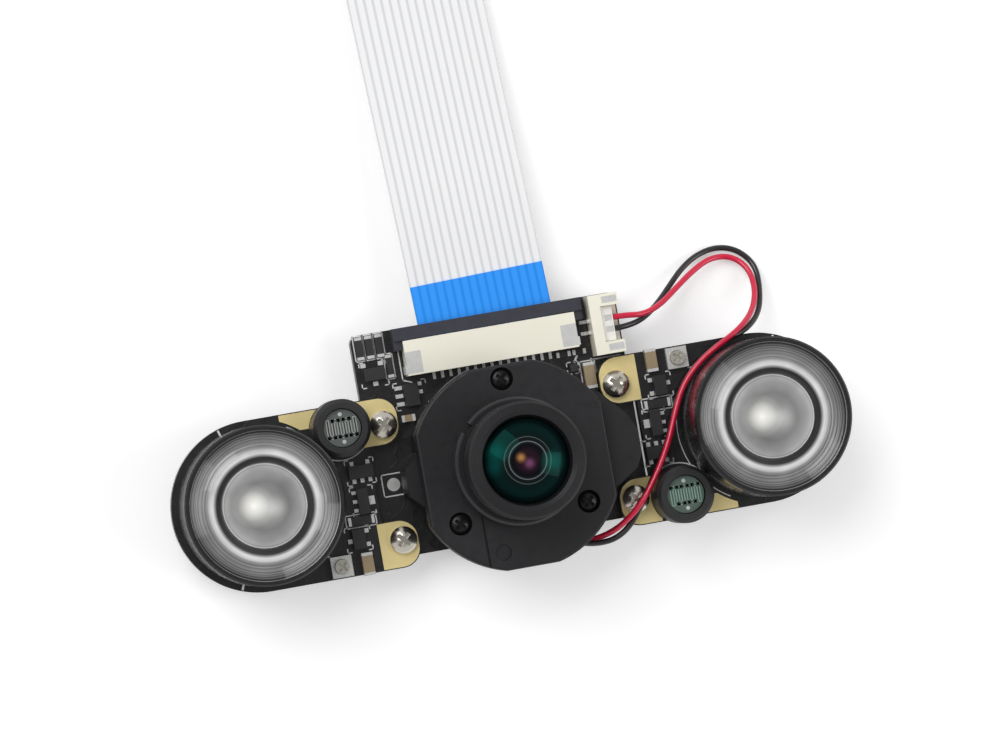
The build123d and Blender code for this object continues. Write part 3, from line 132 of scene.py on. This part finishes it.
# ---- finishes
class Finish:
    """A material with a shader that nodes can be added to."""

    def __init__(self, name, colour, rough=0.5, metal=0.0, **sockets):
        self.material = bpy.data.materials.new(name)
        self.material.use_nodes = True
        self.tree = self.material.node_tree
        self.shader = self.tree.nodes["Principled BSDF"]
        self.shader.inputs["Base Color"].default_value = (*colour, 1.0)
        self.shader.inputs["Roughness"].default_value = rough
        self.shader.inputs["Metallic"].default_value = metal
        for key, value in sockets.items():
            self.shader.inputs[key.replace("_", " ")].default_value = value

    def node(self, kind, **values):
        """A new node, with named inputs set."""
        made = self.tree.nodes.new(kind)
        for key, value in values.items():
            if hasattr(made, key):
                setattr(made, key, value)
            else:
                made.inputs[key.replace("_", " ")].default_value = value
        return made

    def link(self, source, target):
        """Joins two sockets."""
        self.tree.links.new(source, target)

    def place(self):
        """Object coordinates, in metres."""
        return self.node("ShaderNodeTexCoord").outputs["Object"]

    def noise(self, scale, detail=3.0):
        """Noise over the object."""
        made = self.node("ShaderNodeTexNoise", Scale=scale, Detail=detail)
        self.link(self.place(), made.inputs["Vector"])
        return made.outputs["Fac"]

    def ramp(self, source, stops):
        """A ramp with (place, colour) stops."""
        made = self.node("ShaderNodeValToRGB")
        elements = made.color_ramp.elements
        while len(elements) > 1:
            elements.remove(elements[0])
        elements[0].position, elements[0].color = stops[0][0], grey(stops[0][1])
        for position, colour in stops[1:]:
            elements.new(position).color = grey(colour)
        self.link(source, made.inputs["Fac"])
        return made.outputs["Color"]

    def radius(self, x, y):
        """Distance from an upright axis, in metres."""
        shift = self.node("ShaderNodeVectorMath", operation="SUBTRACT")
        shift.inputs[1].default_value = (x * MM, y * MM, 0)
        flat = self.node("ShaderNodeVectorMath", operation="MULTIPLY")
        flat.inputs[1].default_value = (1, 1, 0)
        length = self.node("ShaderNodeVectorMath", operation="LENGTH")
        self.link(self.place(), shift.inputs[0])
        self.link(shift.outputs["Vector"], flat.inputs[0])
        self.link(flat.outputs["Vector"], length.inputs[0])
        return length.outputs["Value"]

    def scaled(self, source, factor):
        """A value times a number."""
        made = self.node("ShaderNodeMath", operation="MULTIPLY")
        made.inputs[1].default_value = factor
        self.link(source, made.inputs[0])
        return made.outputs["Value"]

    def bump(self, source, depth, strength=1.0):
        """Raises the surface by a height in metres where the source is 1."""
        made = self.node("ShaderNodeBump", Strength=strength, Distance=depth)
        self.link(source, made.inputs["Height"])
        self.link(made.outputs["Normal"], self.shader.inputs["Normal"])
        return self

    def vary(self, rough_low, rough_high, scale=900.0):
        """Uneven roughness."""
        rough = self.ramp(self.noise(scale), [(0.3, rough_low), (0.7, rough_high)])
        self.link(rough, self.shader.inputs["Roughness"])
        return self

    def blended(self, kind, a, b):
        """Two colours added or multiplied."""
        mix = self.node("ShaderNodeMix", data_type="RGBA", blend_type=kind)
        mix.inputs["Factor"].default_value = 1.0
        self.link(a, mix.inputs["A"])
        self.link(b, mix.inputs["B"])
        return mix.outputs["Result"]

    def spots(self, base, places):
        """A colour with soft round spots: x, y, radius in mm, colour."""
        for x, y, r, colour in places:
            share = self.scaled(self.radius(x, y), 1 / (r * MM))
            mid, edge = (tuple(c * fade for c in colour) for fade in (0.62, 0.15))
            soft = [(0.0, colour), (0.35, mid), (0.7, edge), (1.0, 0.0)]
            base = self.blended("ADD", base, self.ramp(share, soft))
        return base

    def ways(self):
        """A wave across a ribbon, from its UV map, with one crest for each pitch."""
        split = self.node("ShaderNodeSeparateXYZ")
        self.link(self.node("ShaderNodeTexCoord").outputs["UV"], split.inputs["Vector"])
        wave = self.node("ShaderNodeMath", operation="COSINE")
        self.link(self.scaled(split.outputs["X"], 2 * math.pi * RIBBON_PITCHES), wave.inputs[0])
        return wave.outputs["Value"]

    def paint(self, colour_socket):
        """Colour from nodes."""
        self.link(colour_socket, self.shader.inputs["Base Color"])
        return self


def grey(value):
    """A colour from a grey level or three numbers."""
    return (value, value, value, 1.0) if isinstance(value, (int, float)) else (*value, 1.0)


def speckled(name, colour, rough=0.5, metal=0.0, grain=2500.0, depth=0.01 * MM, **sockets):
    """A plain finish with a fine grain."""
    finish = Finish(name, colour, rough, metal, **sockets)
    finish.bump(finish.noise(grain, 4.0), depth, 0.5)
    return finish.vary(rough * 0.85, min(1.0, rough * 1.15))


def dress(finish, *nodes):
    """Gives CAD nodes a finish."""
    for name in nodes:
        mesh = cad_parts[name].data
        mesh.materials.clear()
        mesh.materials.append(finish.material)


def board_finish():
    """Black solder mask with faint traces under it."""
    finish = Finish("board black", (0.008, 0.008, 0.009), 0.32, Coat_Weight=0.3, Coat_Roughness=0.15)
    traces = finish.ramp(finish.noise(420.0, 1.0), [(0.47, 0.0), (0.5, 1.0), (0.53, 0.0)])
    finish.bump(traces, 0.02 * MM, 0.6)
    return finish.vary(0.26, 0.42)


def lamp_lens_finish(side):
    """Rings of the lamp lens: frosted middle, dark groove, bright flange, fine ridges, and two painted
    highlights.
    """
    finish = Finish(f"lamp lens {side}", (0.5, 0.5, 0.5), 0.22, Coat_Weight=0.5, Coat_Roughness=0.06)
    x = LAMP_X if side == "right" else -LAMP_X
    r = finish.radius(x, 0)
    share = finish.scaled(r, 1 / (10 * MM))
    rings = finish.ramp(share, [
        (0.0, 0.40), (0.15, 0.31), (0.28, 0.22), (0.40, 0.34), (0.455, 0.44), (0.475, 0.32), (0.488, 0.72),
        (0.503, 0.10), (0.52, 0.05), (0.565, 0.055), (0.585, 0.36), (0.605, 0.80), (0.64, 0.66), (0.67, 0.30),
        (0.70, 0.22), (0.712, 0.34), (0.725, 0.20), (0.76, 0.25), (0.772, 0.10), (0.785, 0.26), (0.80, 0.09),
        (0.812, 0.22), (0.825, 0.05), (0.838, 0.14), (0.85, 0.02), (0.865, 0.015), (0.872, 0.35),
    ])
    cloud = finish.ramp(finish.noise(260.0, 2.0), [(0.3, 0.72), (0.7, 1.0)])
    face = finish.blended("MULTIPLY", rings, cloud)
    # Painted highlights: a bright soft spot left of the middle and a weaker one right of it.
    painted_highlights = [(x - 1.35, 0.2, 2.6, (0.75, 0.74, 0.69)), (x + 1.1, -0.4, 1.8, (0.22, 0.22, 0.21))]
    face = finish.spots(face, painted_highlights)
    finish.paint(face)
    wave = finish.node("ShaderNodeMath", operation="SINE")
    finish.link(finish.scaled(r, 2 * math.pi / (0.42 * MM)), wave.inputs[0])
    outside = finish.ramp(share, [(0.66, 0.0), (0.70, 1.0)])
    return finish.bump(finish.blended("MULTIPLY", wave.outputs["Value"], outside), 0.04 * MM, 0.6)


def turned_finish(name, colour, rough, pitch, depth):
    """Anodised metal with fine rings from the lathe, round the lens axis."""
    finish = Finish(name, colour, rough, 0.4, Coat_Weight=0.1)
    wave = finish.node("ShaderNodeMath", operation="SINE")
    finish.link(finish.scaled(finish.radius(*LENS_AXIS), 2 * math.pi / pitch), wave.inputs[0])
    return finish.bump(wave.outputs["Value"], depth, 0.5)


def front_glass_finish():
    """Coated front glass with painted reflections: dark middle, two painted reflection spots, pale thin rings
    that are painted reflections of the inner glasses, and painted green coating reflections towards the rim.
    """
    finish = Finish("coated front glass with painted reflections", (0.01, 0.02, 0.02), 0.07, IOR=1.45,
                    Specular_Tint=(0.01, 0.17, 0.14, 1.0))
    x, y = LENS_AXIS
    share = finish.scaled(finish.radius(x, y), 1 / (5 * MM))
    # The pale thin rings near 2.2 and 2.7 mm from the axis are painted reflections of the inner glasses.
    rings = finish.ramp(share, [
        (0.0, (0.012, 0.006, 0.010)), (0.20, (0.020, 0.008, 0.014)), (0.36, (0.004, 0.004, 0.006)),
        (0.42, (0.01, 0.012, 0.013)), (0.438, (0.16, 0.17, 0.18)), (0.456, (0.006, 0.008, 0.008)),
        (0.53, (0.008, 0.010, 0.010)), (0.545, (0.085, 0.10, 0.10)), (0.56, (0.004, 0.008, 0.008)),
        (0.75, (0.003, 0.012, 0.012)), (0.93, (0.002, 0.006, 0.006)), (1.0, (0.001, 0.002, 0.002)),
    ])
    # Painted reflections: an amber spot and a pink spot near the middle, and green coating reflections at the
    # left and right.
    spots = [
        (x - 0.75, y + 0.45, 0.75, (0.42, 0.20, 0.05)), (x + 0.1, y - 0.35, 0.9, (0.16, 0.05, 0.12)),
        (x - 3.4, y + 1.5, 1.9, (0.0, 0.05, 0.04)), (x + 2.9, y - 0.6, 1.7, (0.0, 0.065, 0.05)),
        (x - 3.9, y - 0.2, 1.4, (0.0, 0.03, 0.028)),
    ]
    return finish.paint(finish.spots(rings, spots))


def ribbon_finish():
    """White film with a faint grey line between ways."""
    finish = Finish("ribbon white", (0.8, 0.8, 0.81), 0.32, Coat_Weight=0.2, Coat_Roughness=0.2)
    wave = finish.ways()
    finish.paint(finish.ramp(wave, [
        (0.0, (0.87, 0.87, 0.88)), (0.35, (0.83, 0.83, 0.84)), (0.95, (0.66, 0.67, 0.69)),
    ]))
    return finish.bump(wave, 0.03 * MM, 0.4)


def stiffener_finish(colour):
    """Blue film that lets the ways show as lighter lines."""
    finish = Finish("stiffener blue", colour, 0.3, Coat_Weight=0.4, Coat_Roughness=0.15)
    lighter = tuple(min(1.0, c * 1.15 + 0.02) for c in colour)
    return finish.paint(finish.ramp(finish.ways(), [(0.0, lighter), (0.9, tuple(colour))]))


class MODULE_OT_finishes(bpy.types.Operator):
    """Give every CAD piece its finish"""

    bl_idname = "module.finishes"
    bl_label = "Finishes"

    def execute(self, context):
        colours = context.scene.module_colours
        dress(board_finish(), "camera_board", "left_lamp_board", "right_lamp_board")
        tinned = speckled("tinned metal", (0.80, 0.80, 0.79), 0.28, 0.45, 1800.0, 0.05 * MM)
        dress(tinned, "camera_terminals", "left_lamp_terminals", "right_lamp_terminals",
              "ribbon_socket_tails", "ribbon_socket_clips", "lead_metal", "coil_yoke", "rotor_magnet")
        dress(speckled("chip black", (0.018, 0.018, 0.02), 0.5),
              "camera_chips", "left_lamp_chips", "right_lamp_chips")
        dress(speckled("capacitor tan", (0.33, 0.25, 0.15), 0.45),
              "camera_capacitors", "left_lamp_capacitors", "right_lamp_capacitors")
        dress(speckled("gold plating", colours.gold, 0.34, 0.3, 1500.0, 0.008 * MM),
              "left_lamp_pads", "right_lamp_pads", "ribbon_far_contacts")
        dress(speckled("nickel", (0.74, 0.70, 0.62), 0.22, 1.0, 1200.0, 0.01 * MM),
              "board_screws", "board_nuts", "back_screws")
        dress(speckled("housing black", (0.0085, 0.0085, 0.0105), 0.48, 0.0, 3500.0, 0.02 * MM,
                       Specular_IOR_Level=0.42), "housing_base", "housing_cover")
        dress(speckled("black oxide", (0.02, 0.02, 0.022), 0.3, 0.7), "cover_screws")
        cup = Finish("cup black", (0.012, 0.012, 0.013), 0.22, Coat_Weight=0.3).vary(0.18, 0.3)
        dress(cup, "left_lamp_cup", "right_lamp_cup")
        dress(speckled("sleeve black", (0.014, 0.014, 0.015), 0.45),
              "left_lamp_sensor_sleeve", "right_lamp_sensor_sleeve", "filter_arm")
        for side in ("left", "right"):
            dress(lamp_lens_finish(side), f"{side}_lamp_lens")
        dress(Finish("emitter dome", (0.7, 0.7, 0.6), 0.2), "left_lamp_emitter", "right_lamp_emitter")
        dress(speckled("sensor face grey", (0.10, 0.115, 0.11), 0.35, 0.0, 1500.0, 0.01 * MM),
              "left_lamp_light_sensor")
        dress(speckled("sensor face green", (0.085, 0.125, 0.105), 0.35, 0.0, 1500.0, 0.01 * MM),
              "right_lamp_light_sensor")
        dress(speckled("trimmer metal", (0.78, 0.78, 0.76), 0.28, 0.5, 1800.0, 0.04 * MM),
              "left_lamp_trimmer_body", "right_lamp_trimmer_body")
        dress(speckled("trimmer rotor", (0.70, 0.68, 0.60), 0.25, 0.7),
              "left_lamp_trimmer_rotor", "right_lamp_trimmer_rotor")
        dress(turned_finish("barrel anodised", (0.016, 0.016, 0.018), 0.36, 0.16 * MM, 0.008 * MM),
              "lens_barrel")
        dress(turned_finish("lock ring satin", (0.03, 0.03, 0.033), 0.26, 0.3 * MM, 0.006 * MM),
              "lock_ring", "lens_inner_ring")
        dress(front_glass_finish(), "front_glass")
        dress(Finish("inner glass", (0.02, 0.05, 0.05), 0.05, Coat_Weight=1.0),
              "inner_glasses", "sensor_glass", "clear_glass")
        dress(Finish("infrared cut", (0.30, 0.03, 0.05), 0.05, Coat_Weight=1.0), "infrared_cut_glass")
        dress(speckled("enamelled copper", (0.55, 0.2, 0.08), 0.3, 0.9), "drive_coil")
        dress(speckled("sensor package", (0.05, 0.05, 0.055), 0.4), "image_sensor")
        dress(speckled("connector cream", colours.cream, 0.38, 0.0, 1500.0, 0.01 * MM, Subsurface_Weight=0.05),
              "ribbon_socket_body", "lead_socket")
        dress(speckled("plug white", (0.84, 0.83, 0.79), 0.35), "lead_plug")
        dress(speckled("lock bar slate", (0.035, 0.037, 0.05), 0.4), "ribbon_lock_bar")
        return {"FINISHED"}


# ---- shapes
def new_object(name, data, finish):
    """Puts new data in the scene, with its finish, on the module."""
    made = bpy.data.objects.new(name, data)
    bpy.context.scene.collection.objects.link(made)
    made.data.materials.append(finish.material)
    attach(made, "module")
    return made


def route_curve(name, route):
    """A smooth curve with the route's points as its control points."""
    curve = bpy.data.curves.new(name, "CURVE")
    curve.dimensions = "3D"
    spline = curve.splines.new("NURBS")
    spline.points.add(len(route) - 1)
    for point, place in zip(spline.points, route):
        point.co = (*[v * MM for v in place], 1.0)
    spline.order_u = 3
    spline.use_endpoint_u = True
    spline.resolution_u = 12
    curve.resolution_u = 12
    return curve


def route_points(route):
    """Points read from the route's smooth curve, in metres."""
    holder = bpy.data.objects.new("route", route_curve("route", route))
    bpy.context.scene.collection.objects.link(holder)
    mesh = bpy.data.meshes.new_from_object(holder)
    points = [vertex.co.copy() for vertex in mesh.vertices]
    bpy.data.objects.remove(holder)
    return points


def ribbon_route():
    """The ribbon's route in space, in millimetres."""
    out = (-math.sin(RIBBON_LEAN), math.cos(RIBBON_LEAN))
    return [(SOCKET_PLACE[0] + out[0] * along, SOCKET_PLACE[1] + out[1] * along, height)
            for along, height in RIBBON_ROUTE]


def strip_mesh(name, points, width, thickness, lift=0.0):
    """A flat strip along points, with u across it and v along it."""
    side = Vector((math.cos(RIBBON_LEAN), math.sin(RIBBON_LEAN), 0))
    columns = 33
    vertices, faces, spots = [], [], []
    for i, point in enumerate(points):
        ahead = points[min(i + 1, len(points) - 1)] - points[max(i - 1, 0)]
        up = side.cross(ahead.normalized())
        middle = point + up * lift
        for face in (0.5, -0.5):
            for j in range(columns):
                share = j / (columns - 1)
                vertices.append(middle + side * width * (share - 0.5) + up * thickness * face)
                spots.append((share, i / (len(points) - 1)))
    ring = 2 * columns
    for i in range(len(points) - 1):
        a, b = i * ring, (i + 1) * ring
        for j in range(columns - 1):
            faces.append((a + j, a + j + 1, b + j + 1, b + j))
            faces.append((a + columns + j + 1, a + columns + j, b + columns + j, b + columns + j + 1))
        faces.append((a + columns, a, b, b + columns))
        faces.append((a + columns - 1, a + ring - 1, b + ring - 1, b + columns - 1))
    for a, flip in ((0, False), ((len(points) - 1) * ring, True)):
        for j in range(columns - 1):
            quad = (a + j + 1, a + j, a + columns + j, a + columns + j + 1)
            faces.append(tuple(reversed(quad)) if flip else quad)
    mesh = bpy.data.meshes.new(name)
    mesh.from_pydata(vertices, [], faces)
    layer = mesh.uv_layers.new(name="strip")
    for loop in mesh.loops:
        layer.data[loop.index].uv = spots[loop.vertex_index]
    return mesh


def part_of(points, start, end):
    """The points between two distances along them."""
    kept, gone = [], 0.0
    for a, b in zip(points, points[1:]):
        step = (b - a).length
        for at in (start, end):
            if gone <= at < gone + step:
                kept.append(a.lerp(b, (at - gone) / step))
        gone += step
        if start < gone < end:
            kept.append(b)
    return kept if end < gone else kept + [points[-1]]


class MODULE_OT_cords(bpy.types.Operator):
    """Make the ribbon and the two wires"""

    bl_idname = "module.cords"
    bl_label = "Cords"

    def execute(self, context):
        sizes, colours = context.scene.module_cords, context.scene.module_colours
        red = Finish("wire red", colours.red, 0.28, Coat_Weight=0.5, Coat_Roughness=0.15)
        black = Finish("wire black", (0.014, 0.014, 0.015), 0.28, Coat_Weight=0.5, Coat_Roughness=0.15)
        leads = (("red_lead", RED_ROUTE, red), ("black_lead", BLACK_ROUTE, black))
        for (name, route, finish), length in zip(leads, sizes.wire_length):
            curve = route_curve(name, route)
            curve.bevel_depth = sizes.wire / 2
            curve.bevel_resolution = 6
            curve.use_fill_caps = True
            node = name.replace("lead", "wire")
            lead = new_object(name, curve, finish)
            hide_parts(node)
        points = route_points(ribbon_route())
        thick = sizes.ribbon_thickness
        strip = strip_mesh("ribbon", points, sizes.ribbon, thick)
        ribbon = new_object("ribbon", strip, ribbon_finish())
        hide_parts("ribbon_cable")
        blue = stiffener_finish(colours.blue)
        total = sum((b - a).length for a, b in zip(points, points[1:]))
        strip = strip_mesh("near_stiffener", part_of(points, 0.0, NEAR_STIFFENER * MM),
                           sizes.ribbon, thick, thick)
        near = new_object("near_stiffener", strip, blue)
        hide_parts("ribbon_near_stiffener")
        strip = strip_mesh("far_stiffener", part_of(points, total - FAR_STIFFENER * MM, total),
                           sizes.ribbon, thick, thick)
        far = new_object("far_stiffener", strip, blue)
        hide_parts("ribbon_far_stiffener")
        exit_place = part_of(points, RIBBON_HIDDEN * MM, total)[0]
        return {"FINISHED"}


# ---- prints and small marks
class FlatShapes:
    """Thin flat shapes gathered into one mesh, in millimetres."""

    def __init__(self, turned=False):
        self.vertices, self.faces = [], []
        self.sign = -1 if turned else 1

    def face(self, corners, z):
        """One flat face, facing up."""
        start = len(self.vertices)
        self.vertices += [(x * MM * self.sign, y * MM * self.sign, z * MM) for x, y in corners]
        self.faces.append(tuple(range(start, start + len(corners))))

    def bar(self, x0, y0, x1, y1, width, z):
        """A straight line of a width."""
        run = math.hypot(x1 - x0, y1 - y0)
        ax, ay = (x1 - x0) / run * width / 2, (y1 - y0) / run * width / 2
        self.face([(x0 - ax + ay, y0 - ay - ax), (x1 + ax + ay, y1 + ay - ax),
                   (x1 + ax - ay, y1 + ay + ax), (x0 - ax - ay, y0 - ay + ax)], z)

    def arc(self, x, y, r, start, end, width, z, steps=72):
        """Part of a ring, angles in degrees."""
        for i in range(steps):
            a, b = (math.radians(start + (end - start) * k / steps) for k in (i, i + 1))
            low, high = r - width / 2, r + width / 2
            corners = ((low, a), (high, a), (high, b), (low, b))
            self.face([(x + reach * math.cos(turn), y + reach * math.sin(turn))
                       for reach, turn in corners], z)

    def box(self, x, y, w, h, width, z):
        """An outline."""
        for x0, y0, x1, y1 in ((-1, -1, 1, -1), (1, -1, 1, 1), (1, 1, -1, 1), (-1, 1, -1, -1)):
            self.bar(x + x0 * w / 2, y + y0 * h / 2, x + x1 * w / 2, y + y1 * h / 2, width, z)

    def brackets(self, x, y, w, h, width, z, reach=0.45):
        """Four corner brackets."""
        for sx in (-1, 1):
            for sy in (-1, 1):
                cx, cy = x + sx * w / 2, y + sy * h / 2
                self.bar(cx, cy, cx - sx * reach, cy, width, z)
                self.bar(cx, cy, cx, cy - sy * reach, width, z)

    def disc(self, x, y, r, z, steps=32):
        """A round spot."""
        turns = [2 * math.pi * k / steps for k in range(steps)]
        self.face([(x + r * math.cos(turn), y + r * math.sin(turn)) for turn in turns], z)

    def snake(self, x, y, half_w, half_h, columns, width, z):
        """A line that runs up and down in columns."""
        step = 2 * half_w / (columns - 1)
        for i in range(columns):
            cx = x - half_w + i * step
            self.bar(cx, y - half_h, cx, y + half_h, width, z)
            if i < columns - 1:
                side = half_h if i % 2 else -half_h
                self.bar(cx, y + side, cx + step, y + side, width, z)

    def made(self, name, finish, slot=None):
        """The shapes as one piece on the module."""
        mesh = bpy.data.meshes.new(name)
        mesh.from_pydata(self.vertices, [], self.faces)
        return new_object(name, mesh, finish)


LINE = 0.14
WIDE_LINE = 0.25
CIRCLE_R, CIRCLE_LINE = 9.85, 0.11      # circle round a lamp cup
TICK_R = 9.2                            # inner end of its two ticks
SENSOR_ARC_R = 3.75
# x, y, width, height
LAMP_MARKS = [(-17.6, 1.9, 3.4, 3.0), (-17.9, -1.55, 2.7, 3.5), (-19.15, -5.85, 3.0, 2.9)]
SMALL_OUTLINES = [(-18.5, -3.75, 3.6, 1.5)]
CAMERA_MARKS = [(-13.85, 12.9, 3.2, 3.0), (-9.95, 9.75, 3.9, 3.2), (9.6, 9.6, 1.4, 1.4)]
CAMERA_OUTLINES = [(-15.1, 16.1, 1.15, 3.0), (-13.9, 16.1, 1.15, 3.0), (-12.7, 16.1, 1.15, 3.0),
                   (-11.9, 13.5, 1.05, 3.0), (11.35, 8.4, 1.8, 3.5)]
# start x, y, end x, y
LAMP_BARS = [(-16.3, -7.4, -16.3, -9.7), (-23.4, -7.3, -22.9, -7.3)]
CAMERA_BARS = [(-10.6, 11.6, -10.6, 16.4), (-10.6, 11.6, -9.6, 11.2), (12.0, 10.2, 15.4, 10.2),
               (11.9, 10.3, 11.9, 9.9)]
CAMERA_MARK_BAR = (9.9, 10.3, 10.3, 10.9)
TEST_PAD = (-13.8, -0.3)
TEST_PAD_R, TEST_PAD_FRAME = 0.78, 2.6
TRACK_HALF_W, TRACK_HALF_H, TRACK_COLUMNS = 1.6, 0.95, 6
CONTACT_OFF, CONTACT_R = 1.62, 0.24     # the two round contacts of a light sensor


class MODULE_OT_prints(bpy.types.Operator):
    """Make the white prints on the boards and the round test pad"""

    bl_idname = "module.prints"
    bl_label = "Board prints"

    def execute(self, context):
        ink = speckled("print white", (0.72, 0.72, 0.72), 0.55)
        for side in ("left", "right"):
            marks = FlatShapes(side == "right")
            z = LAMP_TOP + PRINT_LIFT
            marks.arc(-LAMP_X, 0, CIRCLE_R, -64, 60, CIRCLE_LINE, z, 60)
            for angle in (108.0, 250.0):
                c, n = math.cos(math.radians(angle)), math.sin(math.radians(angle))
                marks.bar(-LAMP_X + TICK_R * c, TICK_R * n, -LAMP_X + CIRCLE_R * c, CIRCLE_R * n,
                          WIDE_LINE, z)
            marks.arc(*SENSOR_PLACE, SENSOR_ARC_R, 200, 330, LINE, z, 24)
            for x, y, w, h in LAMP_MARKS:
                marks.brackets(x, y, w, h, LINE, z)
            for x, y, w, h in SMALL_OUTLINES:
                marks.box(x, y, w, h, LINE, z)
            for ends in LAMP_BARS:
                marks.bar(*ends, LINE, z)
            marks.made(f"{side}_board_print", ink)
        marks = FlatShapes()
        z = BOARD_TOP + PRINT_LIFT
        for x, y, w, h in CAMERA_MARKS:
            marks.brackets(x, y, w, h, LINE, z)
        for x, y, w, h in CAMERA_OUTLINES:
            marks.box(x, y, w, h, LINE, z)
        marks.box(*TEST_PAD, TEST_PAD_FRAME, TEST_PAD_FRAME, LINE, z)
        for ends in CAMERA_BARS:
            marks.bar(*ends, LINE, z)
        marks.bar(*CAMERA_MARK_BAR, WIDE_LINE, z)
        marks.made("camera_board_print", ink)
        pad = FlatShapes()
        pad.disc(*TEST_PAD, TEST_PAD_R, z + 0.03)
        tin = speckled("test pad tin", (0.75, 0.75, 0.74), 0.32, 0.8, 1500.0, 0.03 * MM)
        pad.made("test_pad", tin, slot="tinned")
        return {"FINISHED"}


class MODULE_OT_sensor_tracks(bpy.types.Operator):
    """Make the tracks on the two light sensors"""

    bl_idname = "module.sensor_tracks"
    bl_label = "Sensor tracks"

    def execute(self, context):
        silver = speckled("sensor contact", (0.62, 0.66, 0.64), 0.35, 0.6)
        x, y = SENSOR_PLACE
        tones = {"left": ((0.34, 0.36, 0.33), (0.022, 0.024, 0.024)),
                 "right": ((0.23, 0.36, 0.30), (0.04, 0.075, 0.06))}
        for side, (pale, dark) in tones.items():
            for name, tone, width, lift in (("edge", pale, 0.42, 0.012), ("track", dark, 0.17, 0.024)):
                shape = FlatShapes(side == "right")
                shape.snake(x, y, TRACK_HALF_W, TRACK_HALF_H, TRACK_COLUMNS, width, SENSOR_FACE + lift)
                shape.made(f"{side}_sensor_{name}", speckled(f"sensor {name} {side}", tone, 0.4))
            dots = FlatShapes(side == "right")
            for dy in (-CONTACT_OFF, CONTACT_OFF):
                dots.disc(x, y + dy, CONTACT_R, SENSOR_FACE + 0.03)
            dots.made(f"{side}_sensor_contacts", silver)
        return {"FINISHED"}


# ---- stage
def floor_finish():
    """Pale floor that shows as white, and keeps the object's shadow."""
    finish = Finish("floor", (0.86, 0.86, 0.86), 0.9, Specular_IOR_Level=0.0,
                    Emission_Color=(1.0, 1.0, 1.0, 1.0))
    light_path = finish.node("ShaderNodeLightPath")
    seen = finish.node("ShaderNodeMath", operation="MAXIMUM")
    finish.link(light_path.outputs["Is Camera Ray"], seen.inputs[0])
    finish.link(light_path.outputs["Is Transmission Ray"], seen.inputs[1])
    finish.link(finish.scaled(seen.outputs["Value"], 0.30), finish.shader.inputs["Emission Strength"])
    return finish


def soft_room(world, strength):
    """Light from all round, dimmer overhead than at the sides."""
    world.use_nodes = True
    tree = world.node_tree
    back = tree.nodes["Background"]
    back.inputs["Strength"].default_value = strength
    place = tree.nodes.new("ShaderNodeTexCoord")
    split = tree.nodes.new("ShaderNodeSeparateXYZ")
    shade = tree.nodes.new("ShaderNodeValToRGB")
    stops = shade.color_ramp.elements
    stops[0].position, stops[0].color = 0.0, grey(1.0)
    stops[1].position, stops[1].color = 1.0, grey(0.42)
    stops.new(0.55).color = grey(1.0)
    stops.new(0.85).color = grey(0.5)
    tree.links.new(place.outputs["Generated"], split.inputs["Vector"])
    tree.links.new(split.outputs["Z"], shade.inputs["Fac"])
    tree.links.new(shade.outputs["Color"], back.inputs["Color"])


class MODULE_OT_stage(bpy.types.Operator):
    """Make the floor, the lamps, the world and the camera"""

    bl_idname = "module.stage"
    bl_label = "Stage"

    def execute(self, context):
        settings, scene = context.scene.module_stage, context.scene
        camera = bpy.data.objects.new("camera", bpy.data.cameras.new("camera"))
        scene.collection.objects.link(camera)
        camera.data.sensor_width = 36.0
        camera.data.lens = settings.focal
        place = Vector(CAMERA_PLACE) * MM
        ahead = (Vector(CAMERA_AIM) * MM - place).normalized()
        right = ahead.cross(Vector(CAMERA_UP)).normalized()
        up = right.cross(ahead)
        turn = Matrix((right, up, -ahead)).transposed().to_4x4()
        camera.matrix_world = Matrix.Translation(place) @ turn
        camera.data.clip_start, camera.data.clip_end = CLIP_NEAR, CLIP_FAR
        scene.camera = camera

        mesh = bpy.data.meshes.new("floor")
        corners = [(x * FLOOR_HALF, y * FLOOR_HALF, 0)
                   for x, y in ((-1, -1), (1, -1), (1, 1), (-1, 1))]
        mesh.from_pydata(corners, [], [(0, 1, 2, 3)])
        floor = bpy.data.objects.new("floor", mesh)
        scene.collection.objects.link(floor)
        floor.data.materials.append(floor_finish().material)

        for name, at, size, share in LAMPS:
            light = bpy.data.lights.new(name, "AREA")
            light.size = size
            light.energy = settings.key_power * share
            lamp = bpy.data.objects.new(name, light)
            scene.collection.objects.link(lamp)
            lamp.location = at
            lamp.rotation_euler = (-Vector(at)).to_track_quat("-Z", "Y").to_euler()

        world = bpy.data.worlds.new("soft room")
        scene.world = world
        soft_room(world, settings.world)
        scene.view_settings.view_transform = "Standard"
        return {"FINISHED"}


class MODULE_PT_panel(bpy.types.Panel):
    """The module's operators"""

    bl_idname = "MODULE_PT_panel"
    bl_label = "Camera module"
    bl_space_type = "VIEW_3D"
    bl_region_type = "UI"
    bl_category = "Camera module"

    def draw(self, context):
        for operator in OPERATORS:
            self.layout.operator(operator.bl_idname)


GROUPS = {"module_cords": CordSizes, "module_colours": Colours, "module_stage": StageSettings}
OPERATORS = [MODULE_OT_stage, MODULE_OT_cords, MODULE_OT_prints, MODULE_OT_sensor_tracks, MODULE_OT_finishes]


def register():
    """Registers the add-on's classes and settings."""
    for cls in (*GROUPS.values(), *OPERATORS, MODULE_PT_panel):
        bpy.utils.register_class(cls)
    for name, cls in GROUPS.items():
        setattr(bpy.types.Scene, name, bpy.props.PointerProperty(type=cls))


def unregister():
    """Undoes register."""
    for name in GROUPS:
        delattr(bpy.types.Scene, name)
    for cls in (MODULE_PT_panel, *reversed(OPERATORS), *GROUPS.values()):
        bpy.utils.unregister_class(cls)


def main():
    """Builds everything."""
    register()
    bpy.ops.module.stage()
    bpy.ops.module.cords()
    bpy.ops.module.prints()
    bpy.ops.module.sensor_tracks()
    bpy.ops.module.finishes()


if __name__ == "__main__":
    main()
